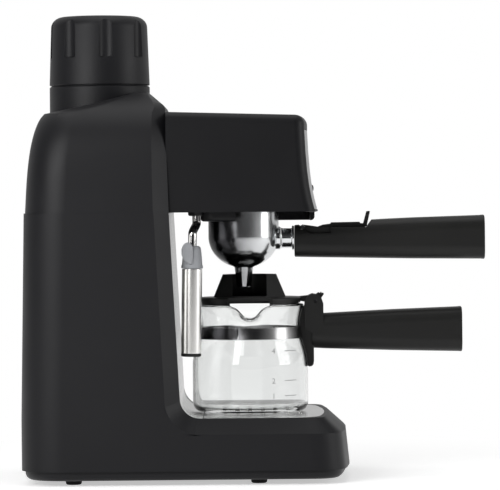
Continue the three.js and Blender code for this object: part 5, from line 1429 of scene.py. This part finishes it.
# %% Carafe lid
def lid():
    crest = place("carafe_lid")[1].z
    skirt = LIP - 3.4
    profile = [
        (0, LID_SEAT - 1), (skirt - 0.6, LID_SEAT - 1), (skirt, LID_SEAT - 0.4),
        (skirt, LID_SEAT + 0.6), (FLANGE - 1, LID_SEAT + 0.6), (FLANGE - 1, LID_TOP - 2.4),
        (FLANGE, LID_TOP - 2.4), (FLANGE, LID_TOP - 0.8), (FLANGE - 0.8, LID_TOP),
        (FLANGE - 6, LID_TOP + 0.1), (0, LID_TOP + 0.1),
    ]
    plate = turned("lid", profile, CARAFE, 128)
    middle_y = CARAFE[1]
    under = rod("under", skirt - 2.6, (*CARAFE, LID_SEAT - 10), (*CARAFE, LID_TOP - 2.4), 96)
    weld(carve(plate, under), chimney(crest))
    funnel = [(0, LID_TOP), (24.4, LID_TOP), (17.3, crest + 1), (0, crest + 1)]
    slot_half, notch_half = 12.2, 16
    carve(
        plate,
        turned("well", funnel, CARAFE, 96),
        block("slot", (-ASIDE, middle_y - slot_half, LID_TOP + 1), (0, middle_y + slot_half, FAR)),
        block(
            "notch",
            (-ASIDE, middle_y - notch_half, LID_SEAT - 6),
            (8 - FLANGE, middle_y + notch_half, LID_TOP + 1),
        ),
        rod("drain", 12, (*CARAFE, 0), (*CARAFE, FAR), 96),
    )
    return soften(carve(weld(plate, tongue()), lid_eye(20)), 0.4, 2)


finish(lid(), "lid", "black_handle", "carafe_lid")

# %% [markdown]
# The carafe's handle hugs the glass with a narrow ribbed strap, carries the lid's hinge between
# two ears, and goes on as the same kind of grip as the filter holder's.

# %% Carafe handle
def beside_glass(gap, low, high):
    """A line down the front of the glass at a distance from it, as (y, z) corners."""
    return on_glass([(CARAFE[1] - glass_radius(z) - gap, z) for z in range(low, high, 4)])


def handle_bracket(start, back):
    """Strap, rib and hinge ears as one solid."""
    flange = CARAFE[1] - FLANGE
    outer = on_glass([
        (flange - 3, 76.6), (back, 73), (back, 36), (back + 0.4, 33.4), (back + 1.6, 32),
        (back + 3.4, 31.8),
    ])
    strap = side_profile("carafe_strap", beside_glass(-1.8, 33, 77) + outer, 7.4)
    rib = beside_glass(2, 34, 67) + list(reversed(beside_glass(3, 34, 67)))
    weld(strap, side_profile("strap_rib", rib, 8))
    ears = on_glass([
        (flange - 1.9, 60), (flange - 1.9, GLASS_RIM - GLASS_FOOT), (flange - 2.6, 80),
        (flange - 4.6, 82.8), (flange - 7.5, 84), (start + 4.4, 83.4), (start + 1.4, 81.2),
        (start, 77), (start, 58), (back, 55),
    ])
    return weld(side_profile("carafe_bracket", ears, 10.6), strap)


def carafe_handle():
    tip = place("carafe_handle")[0].y
    start, back = CARAFE[1] - BELLY - 11.3, CARAFE[1] - BELLY - 4.3
    rows = [
        (back + 1.5, 45, 69.5), (start - 1, 44.5, 70), (start - 50, 42.8, 72.2),
        (tip + 3, 41.7, 73.7), (tip, 41.5, 74),
    ]
    stations = [(y, GLASS_FOOT + low, GLASS_FOOT + high) for y, low, high in rows]
    body = weld(grip("carafe_grip", stations, 0.84, 9.8), handle_bracket(start, back))
    slot = block("slot", (-5.6, start - 5, LID_PIN_Z - 5), (5.6, 10, FAR))
    line = on_glass([(glass_radius(z) + 0.5, z) for z in range(30, 77, 4)])
    hug = [(0, line[0][1]), *line, (line[-1][0], FAR), (0, FAR)]
    carve(body, slot, lid_eye(30), turned("hug", hug, CARAFE, 144))
    return soften(body, 0.5, 3, 40)


finish(carafe_handle(), "carafe", "black_handle", "carafe_handle")

# %% [markdown]
# The steam wand is bent tube. It is drawn as a curve with a round section and then made a mesh;
# the chrome sleeve and the silicone grip with its leaf-shaped tab slide on its lower end, which
# leans back a little.

# %% Steam wand
bush_low, bush_high = place("wand_bushing")
WAND = midpoint("wand_bushing")[:2]
LEAN = math.radians(1.2)
SLEEVE = (place("steam_wand")[0].x + 3, 43.9, SEAM - 25)


def bent_tube(name, points, radius):
    """A tube along a smooth line; each point is (place, reach of its handles along Z)."""
    only(None)
    bpy.ops.curve.primitive_bezier_curve_add()
    curve = bpy.context.active_object
    spline = curve.data.splines[0]
    spline.bezier_points.add(len(points) - 2)
    for point, (at, reach) in zip(spline.bezier_points, points):
        point.handle_left_type = point.handle_right_type = "FREE"
        point.co = Vector(at) * MM
        point.handle_left = (Vector(at) + Vector((0, 0, reach))) * MM
        point.handle_right = (Vector(at) - Vector((0, 0, reach))) * MM
    curve.location = (0, 0, 0)
    curve.data.resolution_u = 24
    curve.data.bevel_depth = radius * MM
    curve.data.bevel_resolution = 12
    curve.data.use_fill_caps = True
    bpy.ops.object.convert(target="MESH")
    return tidy(settle(name))


def below(distance):
    """A point this far down the leaning end of the wand."""
    x, y, z = SLEEVE
    return (x, y + distance * math.sin(LEAN), z - distance * math.cos(LEAN))


bends = [
    ((*WAND, bush_high.z - 3.3), 3), ((*WAND, SEAM - 7.5), 2.4), (below(-9.5), 3.2),
    (below(6), 3), (below(55), 8),
]
finish(soften(bent_tube("wand", bends, 3), 0.3), "wand", "chrome", "steam_wand")


def lean(piece):
    """Stands a piece that was modelled upright round the wand on the leaning end."""
    return put(piece, SLEEVE, (math.degrees(LEAN), 0, 0))


# %% [markdown]
# The sleeve is plain tube. A dark ring is pressed into its lower end, and the boot of the grip
# closes the upper one.

# %% Frothing sleeve and grip
GRIP_SEAT, SLEEVE_END = -14.6, -74
SLEEVE_RADIUS = 7.1


def sleeve():
    pipe = tube("froth_tube", SLEEVE_RADIUS - 0.9, SLEEVE_RADIUS, GRIP_SEAT, SLEEVE_END)
    return soften(lean(pipe), 0.32, 3)


def nozzle_end():
    outer = SLEEVE_RADIUS
    steps = [
        (5, 3), (outer - 1, 3), (outer - 1, 0.05), (outer, 0.05), (outer, -1.2), (outer - 0.4, -2),
        (outer - 1.1, -2.2), (5, -2), (5, 3),
    ]
    profile = [(radius, SLEEVE_END + z) for radius, z in steps]
    return soften(lean(turned("nozzle_end", profile, vertices=80)), 0.15, 2)


def silicone_grip():
    boot_steps = [
        (0, -7), (5.7, -7), (5.7, 0.3), (7.4, 0.3), (7.7, 0.8), (7.6, 2), (7.2, 3), (7, 6),
        (6.5, 11), (6.1, 14), (5.6, 15.3), (4.6, 16.1), (0, 16.2),
    ]
    leaf_steps = [
        (0, 2.5), (3.5, 3.8), (6, 6.4), (7.4, 10), (7.5, 13.7), (6.4, 16.8), (4.4, 18.5),
        (2, 18.6), (0.2, 17.2), (-0.8, 14.6), (-1, 9), (-0.6, 4.6),
    ]
    boot, leaf = (
        [(across, GRIP_SEAT + z) for across, z in steps] for steps in (boot_steps, leaf_steps)
    )
    leaf = soften(put(side_profile("leaf", leaf, 1.5), (-6.8, 0, 0)), 1.1, 4)
    body = weld(turned("silicone_grip", boot, vertices=80), leaf)
    return lean(carve(body, rod("bore", 3.15, (0, 0, -80), (0, 0, 20), 48)))


finish(sleeve(), "frother", "satin_chrome", "froth_sleeve")
finish(nozzle_end(), "frother", "black_rubber")
grip_piece = soften(silicone_grip(), 0.3, angle=40)
finish(grip_piece, "frother", "grey_silicone", "froth_grip", smooth=40)

# %% [markdown]
# The bush is the flanged plug in the head's floor that the wand turns in. It is turned solid, and
# its bore is cut a little wider than the tube.

# %% Swivel bush of the wand
def bush():
    seat, low, high = SEAM + 2.8 + FIT, bush_low.z, bush_high.z
    profile = [
        (0, low), (4.6, low), (5.6, low + 0.4), (6, low + 1.2), (6, seat), (9, seat),
        (9, seat + 2.7), (6, seat + 3.7), (5, high), (0, high),
    ]
    body = turned("bush", profile, WAND, 64)
    return soften(carve(body, rod("bore", 3.3, (*WAND, 0), (*WAND, high - 3), 48)), 0.25)


finish(bush(), "housing", "black_housing", "wand_bushing")

# %% [markdown]
# The steam knob on the user's right is a disc with a raised bar that the fingers turn and that
# also points to the setting. Small flutes round its rim are one rod, copied round the axis. A
# short white line is printed on the end of the bar.

# %% Selector knob
knob_low, knob_high = place("selector_knob")
KNOB = (knob_low.x, KNOB_Y, KNOB_Z)
KNOB_LENGTH = knob_high.x - knob_low.x


def onto_side(piece):
    """Turns a piece that was modelled upright so that its top faces the user's right."""
    return put(piece, KNOB, (0, 90, 0))


def knob():
    radius, skirt = (knob_high.z - knob_low.z) / 2, KNOB_LENGTH * 0.5
    profile = [
        (0, 0), (radius - 0.6, 0), (radius, 0.6), (radius - 0.5, skirt - 1.2),
        (radius - 1.2, skirt - 0.3), (radius - 2.4, skirt), (radius - 4.4, skirt + 0.3),
        (radius - 6, skirt + 0.2), (0, skirt),
    ]
    body = turned("knob", profile, vertices=96)
    flutes = 24
    for number in range(flutes):
        angle = 2 * math.pi * number / flutes
        x, y = (radius + 0.5) * math.cos(angle), (radius + 0.5) * math.sin(angle)
        carve(body, rod("flute", 1, (x, y, 1.6), (x, y, 20), 16))
    bar = block("bar", (-3.6, -radius + 1.8, skirt * 0.5), (3.6, radius - 1.8, KNOB_LENGTH))
    bevel_edges(bar, upright, 3.4, segments=8)
    pick(bar, "FACE", upward)
    bpy.ops.transform.resize(value=(0.72, 0.92, 1), center_override=(0, 0, 0))
    bevel_edges(bar, lambda edge: middle(edge).z > KNOB_LENGTH - 0.1, 0.9, segments=4)
    spindle = rod("spindle", 3.4, (0, 0, -1), (0, 0, 5), 40)
    return onto_side(soften(carve(weld(body, bar), spindle), 0.25, 2))


finish(knob(), "selector", "black_handle", "selector_knob", smooth=36)
pointer = block("pointer_line", (-0.5, -12.6, KNOB_LENGTH - 0.12), (0.5, -6, KNOB_LENGTH + 0.02))
bevel_edges(pointer, upright, 0.45, segments=4)
finish(onto_side(pointer), "selector", "pointer_paint")

# %% [markdown]
# Four rubber feet carry the machine. One is turned, with the shallow cup that gives it suction,
# and copied to the other corners. They stand on the pan that closes the housing from below. The
# gland in the rear wall is where the mains lead enters.

# %% Feet, bottom pan and gland
foot_low, foot_high = place("foot_front_left")
edge, top = (foot_high.x - foot_low.x) / 2, foot_high.z
profile = [
    (0, 0.8), (3, 0.7), (3.8, 0.1), (4.4, 0), (5.1, 0.3), (5.6, 1.1), (edge, 2.6),
    (edge, top - 4), (edge - 0.5, top - 3.6), (edge - 0.5, top), (0, top),
]
first_foot = turned("foot", profile, vertices=56)
for corner in ("front_left", "front_right", "rear_left", "rear_right"):
    node = "foot_" + corner
    foot = put(twin(first_foot), (*midpoint(node)[:2], 0))
    foot.name = node + "_rubber"
    finish(soften(foot, 0.15), "housing", "black_rubber", node)
only(None)
bpy.data.objects.remove(first_foot)


def bottom_pan():
    """A shallow pan with a soft lower edge, open at the top."""
    low, high = place("bottom_pan")
    pan = block("pan", low, high)
    bow_front(pan, high.x, low.y, NOSE_CORNER - 2)
    round_rear(pan, high.y - 8, REAR_RADIUS - 2)
    bevel_edges(pan, lambda edge: near(middle(edge).z, low.z, 0.01), 5, segments=6)
    return soften(hollow(pan, upward, 2.4), 0.3)


def gland():
    low, high = place("cord_gland")
    radius, depth = (high.x - low.x) / 2, high.y - low.y
    profile = [
        (0, 4), (2.6, 4), (3.1, 0.9), (3.7, 0.2), (5.4, 0), (6.6, 0.3), (7.4, 1),
        (radius - 0.3, 1.6), (radius, 3), (radius, depth), (0, depth),
    ]
    body = turned("gland", profile, vertices=72)
    return put(body, (gland_x, high.y, gland_z), (90, 0, 0))


finish(bottom_pan(), "housing", "black_housing", "bottom_pan")
finish(soften(gland(), 0.15), "housing", "black_rubber", "cord_gland")

# %% [markdown]
# The studio: a white floor and surroundings that only the camera, mirrors and glass see as white,
# and four large soft lamps. The room behind the camera is darker, as a real studio is, and that
# gives the black plastic its depth.

# %% Floor
WHITE = (1, 1, 1, 1)
CAMERA_RAY, GLOSSY_RAY, TRANSMISSION_RAY = 0, 3, 6


def ray(wire, kind):
    """1 where light is traced for the camera, a mirror or glass, else 0."""
    return wire.node("LightPath", output=kind)


only(None)
bpy.ops.mesh.primitive_plane_add(size=6, location=(0, 0, 0))
floor = settle("studio_floor")
wire = new_finish("studio_floor")
seen = ray(wire, CAMERA_RAY) + ray(wire, TRANSMISSION_RAY)
mirrored = ray(wire, GLOSSY_RAY)
radius = wire.node("VectorMath", {"operation": "LENGTH"}, {0: here(wire)}, output=1)
fade = {"Value": radius, 1: 0.13, 2: 0.42}
far = wire.node("MapRange", {"interpolation_type": "SMOOTHSTEP"}, fade)
plug(
    wire,
    Base_Color=mix(wire, grain(wire, 400), (0.80, 0.80, 0.80), (0.82, 0.82, 0.82)),
    Specular_IOR_Level=0.0,
)
matt = Wire(wire.tree, principled(wire).outputs[0])
lit = wire.node("Emission", inputs={"Color": WHITE, "Strength": 0.50 * (seen + mirrored)})
near_floor = wire.node("AddShader", inputs={0: matt, 1: lit})
white = wire.node("Emission", inputs={"Color": WHITE, "Strength": 1.0})
surface = wire.node("MixShader", inputs={0: far * seen, 1: near_floor, 2: white})
wire.feed(wire.tree.nodes["Material Output"].inputs["Surface"], surface)
floor.data.materials.append(finishes["studio_floor"])
print("floor:", floor.name)

# %% [markdown]
# The surroundings are what metal and glass mirror. They go from dark behind the camera to white
# behind the machine, so that a round piece of metal shows both, and is read as metal.

# %% Surroundings
world = bpy.data.worlds.new("studio")
bpy.context.scene.world = world
world.use_nodes = True
sky = Wire(world.node_tree)
facing = sky.node("TexCoord", output=0)
product = {0: facing, 1: (0.86, -0.5, 0.1)}
across = sky.node("VectorMath", {"operation": "DOT_PRODUCT"}, product, output=1)
stops = [(0.20, (0.02, 0.02, 0.022, 1)), (0.62, WHITE)]
room = sky.node("ValToRGB", {"stops": stops}, {0: 0.5 + 0.5 * across})
seen = ray(sky, CAMERA_RAY) + ray(sky, TRANSMISSION_RAY)
white = sky.node("Mix", {"data_type": "RGBA"}, {0: seen, 6: room, 7: WHITE}, output=2)
background = world.node_tree.nodes["Background"]
sky.feed(background.inputs["Color"], white)
sky.feed(background.inputs["Strength"], 0.45 + 0.55 * seen + 0.16 * ray(sky, GLOSSY_RAY))
print("surroundings are white to the camera and darker behind it")

# %% [markdown]
# Large lamps give soft edges to the highlights. Two stand at the machine's rear left and shape
# its flank, one hangs above it, and one fills the front.

# %% Lamps
def lamp(name, at, size, watts, towards):
    """A soft rectangular lamp, in metres, that faces a point on the machine."""
    data = bpy.data.lights.new(name, "AREA")
    data.shape = "RECTANGLE"
    data.size, data.size_y = size
    data.energy = watts
    holder = bpy.data.objects.new(name, data)
    bpy.context.scene.collection.objects.link(holder)
    holder.location = at
    aim = Vector(towards) - Vector(at)
    holder.rotation_euler = aim.to_track_quat("-Z", "Y").to_euler()


lamp("side_lamp", (-1.2, 0.62, 1.0), (0.7, 0.7), 5, (0, 0.02, 0.16))
lamp("rear_lamp", (-0.75, 0.62, 0.42), (0.6, 0.5), 4.2, (-0.09, 0.1, 0.2))
lamp("top_lamp", (-0.1, 0.1, 1.3), (1.0, 1.0), 4, (0, 0.1, 0.2))
lamp("front_lamp", (-0.35, -1.2, 0.42), (0.6, 0.6), 3.5, (0, 0.02, 0.16))
print(len(bpy.data.lights), "lamps")

# %% [markdown]
# The camera stands level with the middle of the tower, well away, so that the machine is seen
# almost without perspective, straight from the user's left.

# %% Camera
FRAME_WIDTH = 0.36
DISTANCE = 2.6
EYE = (-DISTANCE, 0.0031, 0.198)
SHIFT = -0.09
TILT = math.radians(-0.55)
data = bpy.data.cameras.new("camera")
camera = bpy.data.objects.new("camera", data)
bpy.context.scene.collection.objects.link(camera)
data.lens = data.sensor_width * DISTANCE / FRAME_WIDTH
data.shift_y = SHIFT
camera.location = EYE
camera.rotation_euler = Euler((math.radians(90), 0, math.radians(-90)))
camera.rotation_euler.rotate_axis("Z", TILT)
bpy.context.scene.camera = camera
bpy.context.scene.view_settings.view_transform = "Standard"
print(f"camera looks along +X through a {data.lens:.0f} mm lens")
